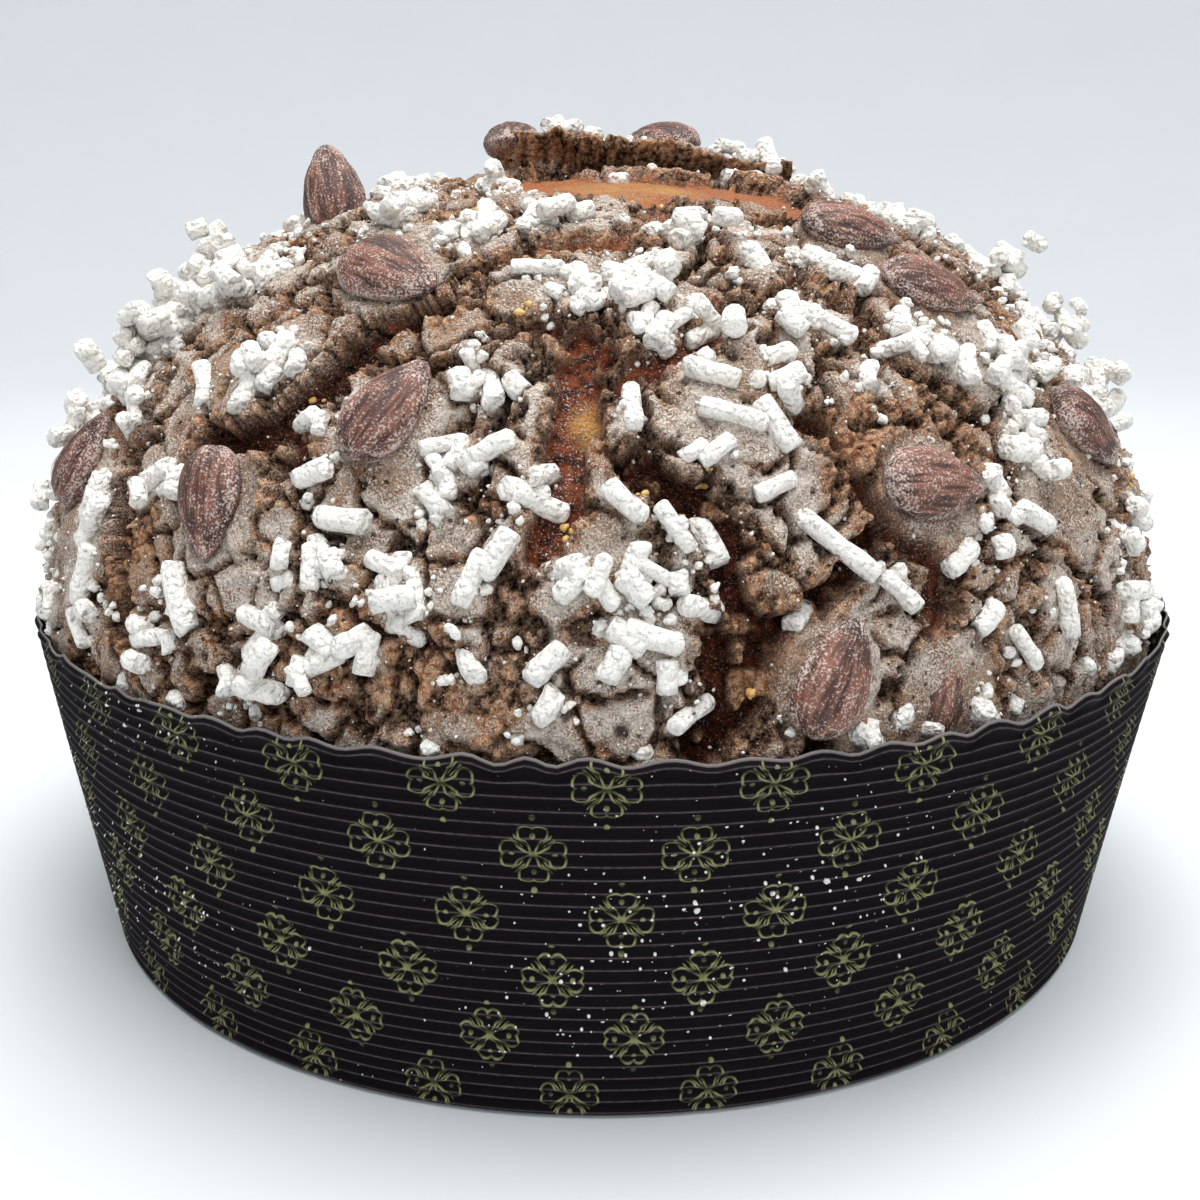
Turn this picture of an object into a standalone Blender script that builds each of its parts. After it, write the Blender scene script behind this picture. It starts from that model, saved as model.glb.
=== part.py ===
"""Low almond-glazed panettone in its fluted paper mould, as solids.

The panettone stands up +Z with the origin at the middle of the mould's underside, and its front faces -Y.
A place on the dome is a turn round from the front, towards +X, and a climb above the dome's centre,
both in degrees. Sizes are in millimetres where a name ends in _MM, and in metres otherwise.
"""

import itertools
import math

import bmesh
import bpy
import numpy as np
from mathutils import Matrix, Vector

MM = 0.001

# Paper mould: the usual low 1 kg size, opened a little by the risen dough
BASE_RADIUS_MM = 104.0
RIM_RADIUS_MM = 115.4
MOULD_HEIGHT_MM = 66.0
PAPER_MM = 1.1
FLOOR_MM = 1.2
SCALLOPS = 66
SCALLOP_DEPTH_MM = 1.1
RIM_SWAY_MM = 1.1
MOULD_STEPS = 2 * SCALLOPS

# Loaf: a dome over a body that fills the mould
DOME_RADIUS_MM = 112.5
DOME_HEIGHT_MM = 93.0
DOME_CENTRE_MM = 56.0
DOME_POWER = 2.25
PINCH_MM = 3.2
PINCH_TOP_MM = 74.0
PINCH_BOTTOM_MM = 36.0
LOWEST_CLIMB = -8.0
BODY_FOOT_RADIUS_MM = 102.6
BODY_FOOT_MM = 9.0
CLEARANCE_MM = 0.35
WALL_GAP_MM = 0.6
LOAF_STEPS = 192
DOME_RINGS = 60
LOAF_TRIANGLES = 2850

# Glaze crust: plates of almond glaze, split apart where the loaf rose
FISSURE_WANDER_MM = 2.0
FISSURE_RAG_MM = 1.0
EDGE_MM = 1.0
PLATE_COUNT = 84
PLATE_LIFT_MM = 0.9
GROOVE_MM = 2.4
GROOVE_HALF_MM = 1.5
LUMP_MM = 0.9
LIP_MM = 0.7
BREAD_WAVE_MM = 0.8

# Fissures seen from the front: (turn, climb) points, half-width at each end and depth, in millimetres
FISSURES = {
    "crown": ([(-13, 78), (24, 74), (50, 69)], 17.0, 14.0, 3.0),
    "front": ([(-1, 39), (-2, 32), (-3, 24), (-6, 17), (-8, 13), (-8, 7)], 5.5, 1.4, 3.6),
    "front_left": ([(-8, 13), (-13, 13), (-18, 14), (-22, 16), (-28, 17)], 1.7, 0.9, 3.4),
    "ridge": ([(-2, 33), (4, 36), (10, 38), (16, 42)], 2.6, 1.7, 2.8),
    "upper_left": ([(-1, 39), (-4, 40), (-12, 38)], 2.6, 1.2, 2.8),
    "brow": ([(-26, 40), (-20, 44), (-15, 48), (-8, 51), (3, 53), (14, 62)], 2.2, 3.4, 3.4),
    "shoulder": ([(-20, 42), (-26, 39), (-29, 33), (-34, 29), (-42, 27)], 3.0, 3.4, 4.6),
    "shoulder_foot": ([(-30, 32), (-29, 27), (-30, 24)], 2.2, 1.0, 4.0),
    "left": ([(-54, 31), (-54, 24), (-51, 19), (-48, 15), (-46, 9)], 2.2, 2.8, 5.5),
    "middle_right": ([(3, 27), (8, 25), (11, 21), (11, 17), (14, 14)], 2.8, 2.6, 4.4),
    "low_right": ([(10, 16), (9, 13), (10, 10), (8, 5)], 2.4, 1.8, 4.6),
    "right": ([(18, 36), (20, 30), (23, 25), (26, 21), (29, 17), (28, 11)], 1.5, 2.2, 4.0),
    "pit": ([(26, 21), (20, 17), (16, 14), (13, 11), (8, 6)], 1.8, 3.6, 6.0),
    "high_right": ([(16, 42), (28, 47), (31, 40), (33, 34), (35, 29)], 1.8, 1.5, 3.4),
}
# The sides and back split alike: where the set's middle goes, and which way round it is
REPEATS = ((88.0, -1.0), (180.0, 1.0), (-100.0, -1.0))
NOT_REPEATED = ("crown", "left")

# Flap of glaze that peeled up behind the crown: its height at the left and how much lower its right end is,
# its front edge in plan, its ends and how far back it fades
FLAP_LIFT_MM = 8.0
FLAP_FALL_MM = 3.8
FLAP_FRONT_MM = 3.0
FLAP_LEFT_MM = -19.0
FLAP_RIGHT_MM = 38.0
FLAP_FADE_MM = 34.0

# Almonds: (turn, climb, lie) of those in front, then a spaced row round the back; length, width, thickness
ALMONDS = [
    (-28, 46, -20), (-20, 31, 64), (-36, 22, -73), (-70, 58, 153), (30, 24, -8), (18, 10, 63), (45, 53, -25),
    (46, 43, -30), (57, 26, -50), (29, 7.5, 62), (-62, 22, 75), (-112, 78, 20), (135, 79, 0),
]
# Those that lie unlike the rest, by number: degrees tipped up on end, height of the middle over the dome
# in millimetres, and size against the others
ODD_ALMONDS = {1: (0.0, 1.2, 1.15), 4: (55.0, 3.6, 1.05), 10: (0.0, -2.9, 0.92)}
BACK_ALMONDS = 11
BACK_TURNS = (84.0, 272.0)
BACK_CLIMBS = (12.0, 60.0)
ALMOND_MM = (18.4, 11.6, 8.2)
ALMOND_TAPER = 0.26
ALMOND_RISE = 0.14
ALMOND_SEAT_MM = 7.5
ALMOND_SIDES = 8
ALMOND_RINGS = 6

# Sugar: (turn, climb, lie, length) of rods that lie alone in front, and (turn, climb, pieces) of clusters
LONE_RODS = [
    (23, 48, -64, 10), (3, 32, 90, 9.5), (11, 35, -22, 9), (12, 31, -20, 10.5), (16, 30, -65, 9.5),
    (8, 28, 30, 5), (10, 28, 35, 7), (15, 25, 20, 7.5), (-22, 22, 0, 8.5), (-10, 18, 68, 9), (-8, 20, 60, 8),
    (-37, 14, -58, 11.5), (-54, 13, 80, 11), (20, 20, -43, 16), (25, 16, -50, 8), (24, 12, 5, 11),
    (32, 8, -35, 7), (37, 10, -55, 9), (43, 12, -85, 10.5), (2, 24, -40, 7.5), (6, 22, -55, 9), (9, 21, -65, 8),
    (2, 14, -35, 6.5), (4, 14, -18, 9), (8, 16, -12, 7), (-4, 12, 45, 7.5), (-4, 9, 60, 5.5), (1, 12, 60, 5.5),
    (5, 11, 90, 5.5), (7, 8, 22, 8), (-10, 12, -50, 6.5), (-28, 8, 0, 9), (-46, 32, -52, 9), (-38, 32, -80, 8.5),
    (-29, 30, 10, 6.5), (-8, 47, 4, 9), (28, 34, 60, 5.5), (26, 40, -40, 11), (-15, 14, -45, 5), (33, 13, 40, 6),
    (41, 20, -30, 8), (-10, 28, 25, 9.5), (-24, 10, 80, 5.5),
]
CLUSTERS = [
    (0, 44, 8), (6, 46, 6), (16, 56, 7), (22, 41, 4), (34, 46, 6), (37, 37, 5), (42, 34, 5), (46, 30, 4),
    (44, 25, 4), (57, 21, 4), (-36, 36, 6), (-26, 27, 5), (-11, 34, 5), (-13, 28, 4), (-24, 18, 5), (-16, 18, 5),
    (-5, 24, 4), (-14, 24, 2), (-41, 10, 4), (-28, 12, 4), (-22, 11, 3), (-18, 12, 2), (-34, 7, 4), (-2, 18, 5),
    (4, 19, 4), (23, 9, 5), (-80, 55, 6), (-42, 58, 6), (-22, 56, 5), (-10, 58, 6), (-53, 44, 5), (-67, 37, 6),
    (-77, 44, 6), (-74, 31, 5), (58, 16, 4), (56, 11, 3), (-56, 19, 5), (-54, 8, 4), (33, 18, 3), (38, 22, 3),
    (8, 40, 5), (12, 40, 3), (-100, 66, 7), (-160, 82, 7), (118, 74, 6), (92, 71, 5), (74, 54, 5), (66, 28, 5),
    (-57, 28, 4), (-44, 23, 4), (-45, 5, 3), (18, 34, 4), (18, 15, 2), (46, 5, 4),
]
# Heaps, whose later pieces lie in layers on the first ones: (turn, climb, pieces)
HEAPS = [
    (-76, 45, 10), (-70, 39, 11), (-64, 35, 11), (-60, 42, 9), (-63, 30, 10), (-53, 44, 8), (-72, 24, 8),
    (76, 42, 9), (75, 35, 9), (74, 28, 10), (49, 34, 8), (56, 30, 8),
]
HEAP_LAYER = 4
HEAP_RISE = 0.95
BACK_GROUPS = 106
BACK_SPACING_MM = 12.0
ROD_RADIUS_MM = 2.15
CLUSTER_SPREAD_MM = 4.6
ROD_SIDES = 5
ROD_RISE = 0.3
SOLID_RANKS = 0
SEED = 11

COLOURS = {
    "loaf": ((0.33, 0.19, 0.11), 0.75),
    "paper": ((0.045, 0.035, 0.04), 0.7),
    "almond": ((0.25, 0.12, 0.075), 0.6),
}


def smooth_step(low, high, value):
    """0 below low, 1 above high, and a smooth rise between them."""
    share = np.clip((value - low) / (high - low), 0.0, 1.0)
    return share * share * (3.0 - 2.0 * share)


def lattice_random(cell, seed):
    """A repeatable number from 0 to 1 for each whole-number cell, made by mixing its coordinates' bits."""
    step = np.array([73856093, 19349663, 83492791], np.uint32)
    mixed = (cell.astype(np.int64).astype(np.uint32) * step).sum(axis=-1, dtype=np.uint32)
    mixed = mixed + np.uint32(seed * 977 + 13)
    mixed = (mixed ^ (mixed >> np.uint32(15))) * np.uint32(2246822519)
    mixed = (mixed ^ (mixed >> np.uint32(13))) * np.uint32(3266489917)
    return ((mixed ^ (mixed >> np.uint32(16))) >> np.uint32(8)) / float(1 << 24)


def value_noise(points, size, seed):
    """Smooth noise from -1 to 1 with bumps about as wide as size."""
    scaled = points / size
    base = np.floor(scaled)
    part = scaled - base
    fade = part * part * (3.0 - 2.0 * part)
    total = np.zeros(len(points))
    for corner in itertools.product((0, 1), repeat=3):
        weight = np.prod(np.where(corner, fade, 1.0 - fade), axis=1)
        total += weight * lattice_random(base + corner, seed)
    return 2.0 * total - 1.0


def drift(points, size, reach, seed):
    """Points moved about by up to reach, by noise of that size."""
    return points + reach * np.stack([value_noise(points, size, seed + k) for k in range(3)], axis=1)


def direction(turn, climb):
    """Unit vectors for turns and climbs in degrees."""
    a, c = np.radians(turn), np.radians(climb)
    return np.stack([np.sin(a) * np.cos(c), -np.cos(a) * np.cos(c), np.sin(c)], axis=-1)


def dome_points(ways):
    """The smooth dome's points, in millimetres, along unit vectors from its centre: a rounded superellipse
    turned about Z, drawn in near the mould's rim."""
    across = np.hypot(ways[:, 0], ways[:, 1])
    reach = ((across / DOME_RADIUS_MM) ** DOME_POWER + (np.abs(ways[:, 2]) / DOME_HEIGHT_MM) ** DOME_POWER)
    points = ways * reach[:, None] ** (-1.0 / DOME_POWER)
    points[:, 2] += DOME_CENTRE_MM
    pinch = PINCH_MM * smooth_step(PINCH_TOP_MM, PINCH_BOTTOM_MM, points[:, 2])
    radius = np.maximum(np.hypot(points[:, 0], points[:, 1]), 1e-6)
    points[:, :2] *= (1.0 - pinch / radius)[:, None]
    return points


def dome_normals(ways):
    """Outward unit normals of the smooth dome along unit vectors."""
    across = np.maximum(np.hypot(ways[:, 0], ways[:, 1]), 1e-9)
    flat = (across / DOME_RADIUS_MM) ** (DOME_POWER - 1.0) / DOME_RADIUS_MM
    up = np.sign(ways[:, 2]) * (np.abs(ways[:, 2]) / DOME_HEIGHT_MM) ** (DOME_POWER - 1.0) / DOME_HEIGHT_MM
    normals = np.column_stack([flat * ways[:, 0] / across, flat * ways[:, 1] / across, up])
    return normals / np.linalg.norm(normals, axis=1)[:, None]


def fissure_runs():
    """Every straight run of every fissure: its two ends in millimetres, half-widths there and its depth."""
    runs = []
    for name, (places, start, end, depth) in FISSURES.items():
        turns = [(0.0, 1.0)] + ([] if name in NOT_REPEATED else list(REPEATS))
        for middle, side in turns:
            way = np.array([direction(middle + side * turn, climb) for turn, climb in places])
            points = dome_points(way)
            widths = np.linspace(start, end, len(places))
            for k in range(len(places) - 1):
                runs.append((points[k], points[k + 1], widths[k], widths[k + 1], depth))
    return runs


def fissure_field(points):
    """How far each point is outside the nearest fissure, in millimetres, negative inside, and its depth."""
    ragged = drift(drift(points, 15.0, FISSURE_WANDER_MM, 21), 5.0, FISSURE_RAG_MM, 31)
    gap = np.full(len(points), 1e3)
    depth = np.zeros(len(points))
    for first, last, wide, narrow, deep in fissure_runs():
        along = last - first
        share = np.clip((ragged - first) @ along / (along @ along), 0.0, 1.0)
        away = np.linalg.norm(ragged - first - share[:, None] * along, axis=1)
        away -= wide + (narrow - wide) * share
        depth = np.where(away < gap, deep, depth)
        gap = np.minimum(gap, away)
    return gap, depth


def plate_seeds():
    """Middles of the glaze plates: a golden-angle spiral over the dome, each nudged aside at random."""
    rank = np.arange(PLATE_COUNT) + 0.5
    rise = 1.0 - (rank / PLATE_COUNT) * (1.0 - math.sin(math.radians(LOWEST_CLIMB)))
    turn = np.degrees(rank * math.pi * (3.0 - math.sqrt(5.0)))
    points = dome_points(direction(turn, np.degrees(np.arcsin(rise))))
    return points + np.random.default_rng(SEED).uniform(-6.0, 6.0, points.shape)


def plate_field(points):
    """How far each point is inside its glaze plate's border, in millimetres, and that plate's lift."""
    seeds = plate_seeds()
    lifts = np.random.default_rng(SEED + 1).uniform(-PLATE_LIFT_MM, PLATE_LIFT_MM, PLATE_COUNT)
    ragged = drift(points, 7.0, 2.2, 41)
    nearest = np.full(len(points), 1e3)
    second = np.full(len(points), 1e3)
    lift = np.zeros(len(points))
    for seed, height in zip(seeds, lifts):
        away = np.linalg.norm(ragged - seed, axis=1)
        second = np.minimum(second, np.maximum(nearest, away))
        lift = np.where(away < nearest, height, lift)
        nearest = np.minimum(nearest, away)
    return (second - nearest) / 2.0, lift


def flap_lift(points):
    """Extra height of the peeled flap: full at its front edge, lower towards its right end, fading backwards
    and ragged at its ends."""
    ragged = drift(points, 8.0, 2.5, 51)
    front = smooth_step(-EDGE_MM, EDGE_MM, ragged[:, 1] - FLAP_FRONT_MM)
    left = smooth_step(-3.0, 3.0, ragged[:, 0] - FLAP_LEFT_MM)
    right = smooth_step(-EDGE_MM, EDGE_MM, FLAP_RIGHT_MM - ragged[:, 0])
    fade = smooth_step(FLAP_FRONT_MM + FLAP_FADE_MM, FLAP_FRONT_MM, points[:, 1])
    above = points[:, 2] > DOME_CENTRE_MM
    fallen = FLAP_FALL_MM * np.clip((points[:, 0] - FLAP_LEFT_MM) / (FLAP_RIGHT_MM - FLAP_LEFT_MM), 0.0, 1.0)
    return (FLAP_LIFT_MM - fallen) * front * left * right * fade * above


def almond_places():
    """(turn, climb, lie, tip, raised, size) of every almond: those in front, then a golden-ratio spread round
    the back."""
    rng = np.random.default_rng(SEED + 2)
    golden = (math.sqrt(5.0) - 1.0) / 2.0
    places = list(ALMONDS)
    for k in range(BACK_ALMONDS):
        turn = BACK_TURNS[0] + (BACK_TURNS[1] - BACK_TURNS[0]) * (k + 0.5) / BACK_ALMONDS
        climb = BACK_CLIMBS[0] + (BACK_CLIMBS[1] - BACK_CLIMBS[0]) * ((k * golden) % 1.0)
        places.append((turn, climb, rng.uniform(-90.0, 90.0)))
    usual = (0.0, ALMOND_MM[2] * ALMOND_RISE, 1.0)
    return [(*place, *ODD_ALMONDS.get(number, usual)) for number, place in enumerate(places, 1)]


def seat_field(points):
    """1 under and round each almond, where the glaze holds it and nothing splits, and 0 away from them."""
    seats = dome_points(np.array([direction(turn, climb) for turn, climb, *_ in almond_places()]))
    near = np.min([np.linalg.norm(points - seat, axis=1) for seat in seats], axis=0)
    return smooth_step(ALMOND_SEAT_MM + 3.0, ALMOND_SEAT_MM, near)


def crust_relief(points):
    """Height of the crust over the smooth dome at its points, in millimetres: plates, grooves and fissures."""
    gap, depth = fissure_field(points)
    inside, lift = plate_field(points)
    lumps = LUMP_MM * (value_noise(points, 11.0, 61) + 0.5 * value_noise(points, 5.0, 62))
    some = smooth_step(-0.5, 0.2, value_noise(points, 28.0, 63))
    groove = GROOVE_MM * some * (1.0 - smooth_step(0.2, GROOVE_HALF_MM, inside))
    lip = LIP_MM * np.exp(-(((gap - 2.0) / 1.6) ** 2))
    plate = lift + lumps - groove + lip
    seat = seat_field(points)
    plate = plate * (1.0 - seat)
    bread = -depth + BREAD_WAVE_MM * value_noise(points, 6.0, 64)
    wall = np.maximum(smooth_step(-EDGE_MM, EDGE_MM, gap), seat)
    return bread + (plate - bread) * wall + flap_lift(points)


def surface(ways):
    """Points of the crust, in millimetres, along unit vectors from the dome's centre."""
    points = dome_points(ways)
    return points + ways * crust_relief(points)[:, None]


def ways_to(points):
    """Unit vectors from the dome's centre to points in millimetres."""
    away = points - np.array([0.0, 0.0, DOME_CENTRE_MM])
    return away / np.linalg.norm(away, axis=1)[:, None]


def lying(turn, climb, lie):
    """(middle, along, normal) on the smooth dome: the tangent that leans lie degrees up from level."""
    way = direction(turn, climb)[None, :]
    normal = dome_normals(way)[0]
    level = np.array([math.cos(math.radians(turn)), math.sin(math.radians(turn)), 0.0])
    upward = np.cross(normal, level)
    along = math.cos(math.radians(lie)) * level + math.sin(math.radians(lie)) * upward
    return dome_points(way)[0], along, normal


def sugar_groups():
    """(turn, climb, lie or None, length or pieces): the rods and clusters in front, then more round the rest
    of the dome from a golden-angle spiral, each clear of those before it, then the heaps."""
    groups = [(turn, climb, lie, length) for turn, climb, lie, length in LONE_RODS]
    groups += [(turn, climb, None, pieces) for turn, climb, pieces in CLUSTERS]
    taken = [lying(turn, climb, 0.0)[0] for turn, climb, _, _ in groups]
    rng = np.random.default_rng(SEED + 3)
    for k in range(BACK_GROUPS):
        climb = math.degrees(math.asin(1.0 - 0.93 * (k + 0.5) / BACK_GROUPS))
        turn = math.degrees(k * math.pi * (3.0 - math.sqrt(5.0))) + rng.uniform(-4.0, 4.0)
        alone = rng.random() < 0.35
        lie, length, pieces = rng.uniform(-90.0, 90.0), rng.uniform(6.0, 11.0), int(rng.integers(3, 7))
        turn = (turn + 180.0) % 360.0 - 180.0
        middle = lying(turn, climb, 0.0)[0]
        in_view = abs(turn) < 62.0 and climb < 62.0
        if in_view or min(np.linalg.norm(middle - other) for other in taken) < BACK_SPACING_MM:
            continue
        taken.append(middle)
        groups.append((turn, climb, lie, length) if alone else (turn, climb, None, pieces))
    groups += [(turn, climb, None, pieces) for turn, climb, pieces in HEAPS]
    return groups


def sugar_pieces():
    """Every piece of sugar as (middle, along, normal, length, radius, rank, stacked), in millimetres. A group's
    pieces are ranked with the largest first; a cluster's later pieces lie on its first ones, and a heap is
    layer on layer, each ranked anew."""
    rng = np.random.default_rng(SEED + 4)
    pieces = []
    for turn, climb, lie, amount in sugar_groups():
        if lie is not None:
            middle, along, normal = lying(turn, climb, lie)
            pieces.append((middle, along, normal, amount, ROD_RADIUS_MM * rng.uniform(0.9, 1.08), 0, 0.0))
            continue
        lengths = sorted(rng.uniform(3.6, 8.5, amount), reverse=True)
        layered = (turn, climb, amount) in HEAPS
        for order, length in enumerate(lengths):
            layer, rank = divmod(order, HEAP_LAYER) if layered else (0, order)
            middle, along, normal = lying(turn, climb, rng.uniform(-90.0, 90.0))
            aside = np.cross(normal, along)
            spread = CLUSTER_SPREAD_MM * math.sqrt(rank / 3.0)
            angle = order * 2.4 + rng.uniform(-0.5, 0.5)
            middle = middle + spread * (math.cos(angle) * along + math.sin(angle) * aside)
            stacked = rng.uniform(0.0, 0.9) if order % 3 == 2 else 0.0
            stacked += HEAP_RISE * layer
            pieces.append((middle, along, normal, length, ROD_RADIUS_MM * rng.uniform(0.82, 1.1), rank, stacked))
    return pieces


def run_distance(points, first, last):
    """How far each point is from the straight run between two ends."""
    along = last - first
    share = np.clip((points - first) @ along / (along @ along), 0.0, 1.0)
    return np.linalg.norm(points - first - share[:, None] * along, axis=1)


def almond_axes(turn, climb, lie, tip, raised):
    """(middle, along, normal) of an almond: its long side along the dome, or tipped up out of it, and its
    thickness square to that."""
    middle, along, normal = lying(turn, climb, lie)
    tilt = math.radians(tip)
    flat_way, up_way = math.cos(tilt), math.sin(tilt)
    return middle + normal * raised, flat_way * along + up_way * normal, flat_way * normal - up_way * along


def almond_gap(points):
    """How far each point is from the nearest almond's middle line."""
    reach = np.full(len(points), 1e3)
    for *place, size in almond_places():
        middle, along, _ = almond_axes(*place)
        half = along * size * (ALMOND_MM[0] - ALMOND_MM[1]) / 2.0
        reach = np.minimum(reach, run_distance(points, middle - half, middle + half))
    return reach


def settled_sugar():
    """The sugar pieces laid on the crust, as (first end, last end, radius, rank), clear of the almonds."""
    pieces = sugar_pieces()
    middles = np.array([piece[0] for piece in pieces])
    radii = np.array([piece[4] for piece in pieces])
    halves = np.array([piece[1] * (piece[3] / 2.0 - piece[4] * 0.5) for piece in pieces])
    rises = np.array([piece[4] * (ROD_RISE + piece[6] * 1.6) for piece in pieces])
    normals = np.array([piece[2] for piece in pieces])
    first = surface(ways_to(middles - halves)) + normals * rises[:, None]
    last = surface(ways_to(middles + halves)) + normals * rises[:, None]
    spans = [first + (last - first) * share for share in (-0.15, 0.25, 0.5, 0.75, 1.15)]
    clear = np.min([almond_gap(span) for span in spans], axis=0) > ALMOND_MM[1] / 2.0 + radii + 0.5
    gap, _ = fissure_field(middles)
    clear &= gap > -2.0
    above_rim = np.minimum(first[:, 2], last[:, 2]) > MOULD_HEIGHT_MM + 3.0
    kept = np.flatnonzero(clear & above_rim)
    return [(first[k], last[k], pieces[k][4], pieces[k][5]) for k in kept]


def clear_scene():
    """Removes every object, so that the script starts from an empty scene."""
    for item in list(bpy.data.objects):
        bpy.data.objects.remove(item, do_unlink=True)


def new_collection(name):
    """A collection linked to the scene."""
    group = bpy.data.collections.new(name)
    bpy.context.scene.collection.children.link(group)
    return group


def move_to(item, group):
    """Puts an object in one collection only."""
    for held in list(item.users_collection):
        held.objects.unlink(item)
    group.objects.link(item)
    return item


def finish_material(name):
    """A Principled material of the part's colour and roughness."""
    colour, roughness = COLOURS[name]
    material = bpy.data.materials.new(name)
    material.use_nodes = True
    shader = material.node_tree.nodes["Principled BSDF"]
    shader.inputs["Base Color"].default_value = (*colour, 1.0)
    shader.inputs["Roughness"].default_value = roughness
    return material


def applied(item):
    """The object with its modifiers applied, as a plain mesh in the same place."""
    graph = bpy.context.evaluated_depsgraph_get()
    mesh = bpy.data.meshes.new_from_object(item.evaluated_get(graph))
    item.modifiers.clear()
    item.data = mesh
    return item


def turned(name, profile, steps, group):
    """A closed solid turned about Z from (radius, height) points in millimetres, which run up its inner or
    lower side first and then down its outer side."""
    mesh = bpy.data.meshes.new(name)
    points = [(radius * MM, 0.0, height * MM) for radius, height in profile]
    mesh.from_pydata(points, [(k, k + 1) for k in range(len(points) - 1)], [])
    item = bpy.data.objects.new(name, mesh)
    group.objects.link(item)
    screw = item.modifiers.new("turn", "SCREW")
    screw.steps = screw.render_steps = steps
    screw.use_merge_vertices = True
    screw.merge_threshold = 0.00001
    bpy.context.view_layer.update()
    return applied(item)


def move_points(item, rule):
    """Moves the mesh's points by a rule that takes and gives an array of them in millimetres."""
    count = len(item.data.vertices)
    places = np.empty(count * 3)
    item.data.vertices.foreach_get("co", places)
    places = rule(places.reshape(count, 3) / MM) * MM
    item.data.vertices.foreach_set("co", places.ravel())
    item.data.update()


def mould_sway(turn):
    """How far the rim leans out of round, in millimetres, at a turn in radians."""
    return RIM_SWAY_MM * (np.sin(2.0 * turn + 0.6) + 0.5 * np.sin(3.0 * turn - 1.0))


def shape_mould(points):
    """Lets the wall sway more towards the rim and cuts the rim into scallops."""
    turn = np.arctan2(points[:, 0], -points[:, 1])
    share = np.clip(points[:, 2] / MOULD_HEIGHT_MM, 0.0, 1.0)
    radius = np.maximum(np.hypot(points[:, 0], points[:, 1]), 1e-6)
    wall = radius > BASE_RADIUS_MM - PAPER_MM - 1.0
    points[:, :2] *= (1.0 + wall * mould_sway(turn) * share ** 2 / radius)[:, None]
    at_rim = points[:, 2] > MOULD_HEIGHT_MM - 0.5
    points[:, 2] += at_rim * SCALLOP_DEPTH_MM * np.cos(SCALLOPS * turn)
    return points


def make_mould(group):
    """Paper mould: an open cup with a leaning wall, its rim cut in scallops."""
    lean = (RIM_RADIUS_MM - BASE_RADIUS_MM) / MOULD_HEIGHT_MM
    inner = BASE_RADIUS_MM - PAPER_MM
    profile = [(0.0, FLOOR_MM), (inner, FLOOR_MM)]
    profile += [(inner + lean * z, z) for z in (MOULD_HEIGHT_MM * 0.6, MOULD_HEIGHT_MM)]
    profile += [(BASE_RADIUS_MM + lean * z, z) for z in (MOULD_HEIGHT_MM, MOULD_HEIGHT_MM * 0.6, 1.5)]
    profile += [(BASE_RADIUS_MM - 1.2, 0.0), (0.0, 0.0)]
    item = turned("paper_mould", profile, MOULD_STEPS, group)
    move_points(item, shape_mould)
    item.data.materials.append(finish_material("paper"))
    item.data.shade_smooth()
    item.data.set_sharp_from_angle(angle=math.radians(35.0))
    return item


def held_in(points):
    """Draws points in where they would reach the mould's wall, which holds the loaf up to the rim."""
    turn = np.arctan2(points[:, 0], -points[:, 1])
    share = np.clip(points[:, 2] / MOULD_HEIGHT_MM, 0.0, 1.0)
    wall = BASE_RADIUS_MM - PAPER_MM + (RIM_RADIUS_MM - BASE_RADIUS_MM) * share + mould_sway(turn) * share ** 2
    over = np.maximum(points[:, 2] - MOULD_HEIGHT_MM - 1.0, 0.0)
    radius = np.maximum(np.hypot(points[:, 0], points[:, 1]), 1e-6)
    points[:, :2] *= np.minimum(1.0, (wall - WALL_GAP_MM + over) / radius)[:, None]
    return points


def shape_loaf(points):
    """Raises the crust's relief on the part of the loaf that stands out of the mould."""
    ways = ways_to(points)
    climb = np.degrees(np.arcsin(np.clip(ways[:, 2], -1.0, 1.0)))
    shown = climb > LOWEST_CLIMB
    strength = smooth_step(-2.0, 4.0, climb[shown])
    on_dome = dome_points(ways[shown])
    points[shown] = on_dome + ways[shown] * (crust_relief(on_dome) * strength)[:, None]
    return held_in(points)


def make_loaf(group):
    """Loaf: a turned body and dome with the crust's plates and fissures, thinned to few faces."""
    climbs = np.linspace(LOWEST_CLIMB, 90.0, DOME_RINGS)
    dome = dome_points(direction(np.full(DOME_RINGS, 90.0), climbs))
    bottom = FLOOR_MM + CLEARANCE_MM
    profile = [(0.0, float(dome[-1, 2]))] + [(float(x), float(z)) for x, _, z in dome[-2::-1]]
    profile += [(BODY_FOOT_RADIUS_MM, BODY_FOOT_MM), (BODY_FOOT_RADIUS_MM - 2.2, bottom + 2.0)]
    profile += [(BODY_FOOT_RADIUS_MM - 6.0, bottom), (0.0, bottom)]
    item = turned("loaf", profile, LOAF_STEPS, group)
    move_points(item, shape_loaf)
    thin = item.modifiers.new("thin", "DECIMATE")
    faces = sum(len(face.vertices) - 2 for face in item.data.polygons)
    thin.ratio = LOAF_TRIANGLES / faces
    applied(item)
    item.data.materials.append(finish_material("loaf"))
    return item


def almond_frame(*place):
    """Where an almond lies, raised with the flap where it is on it."""
    middle, along, normal = almond_axes(*place)
    middle = middle + np.array([0.0, 0.0, 1.0]) * flap_lift(middle[None, :])[0]
    aside = np.cross(normal, along)
    turn_matrix = Matrix([[*row] for row in np.column_stack([aside, normal, along])]).to_4x4()
    return Matrix.Translation(Vector(middle * MM)) @ turn_matrix


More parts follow.
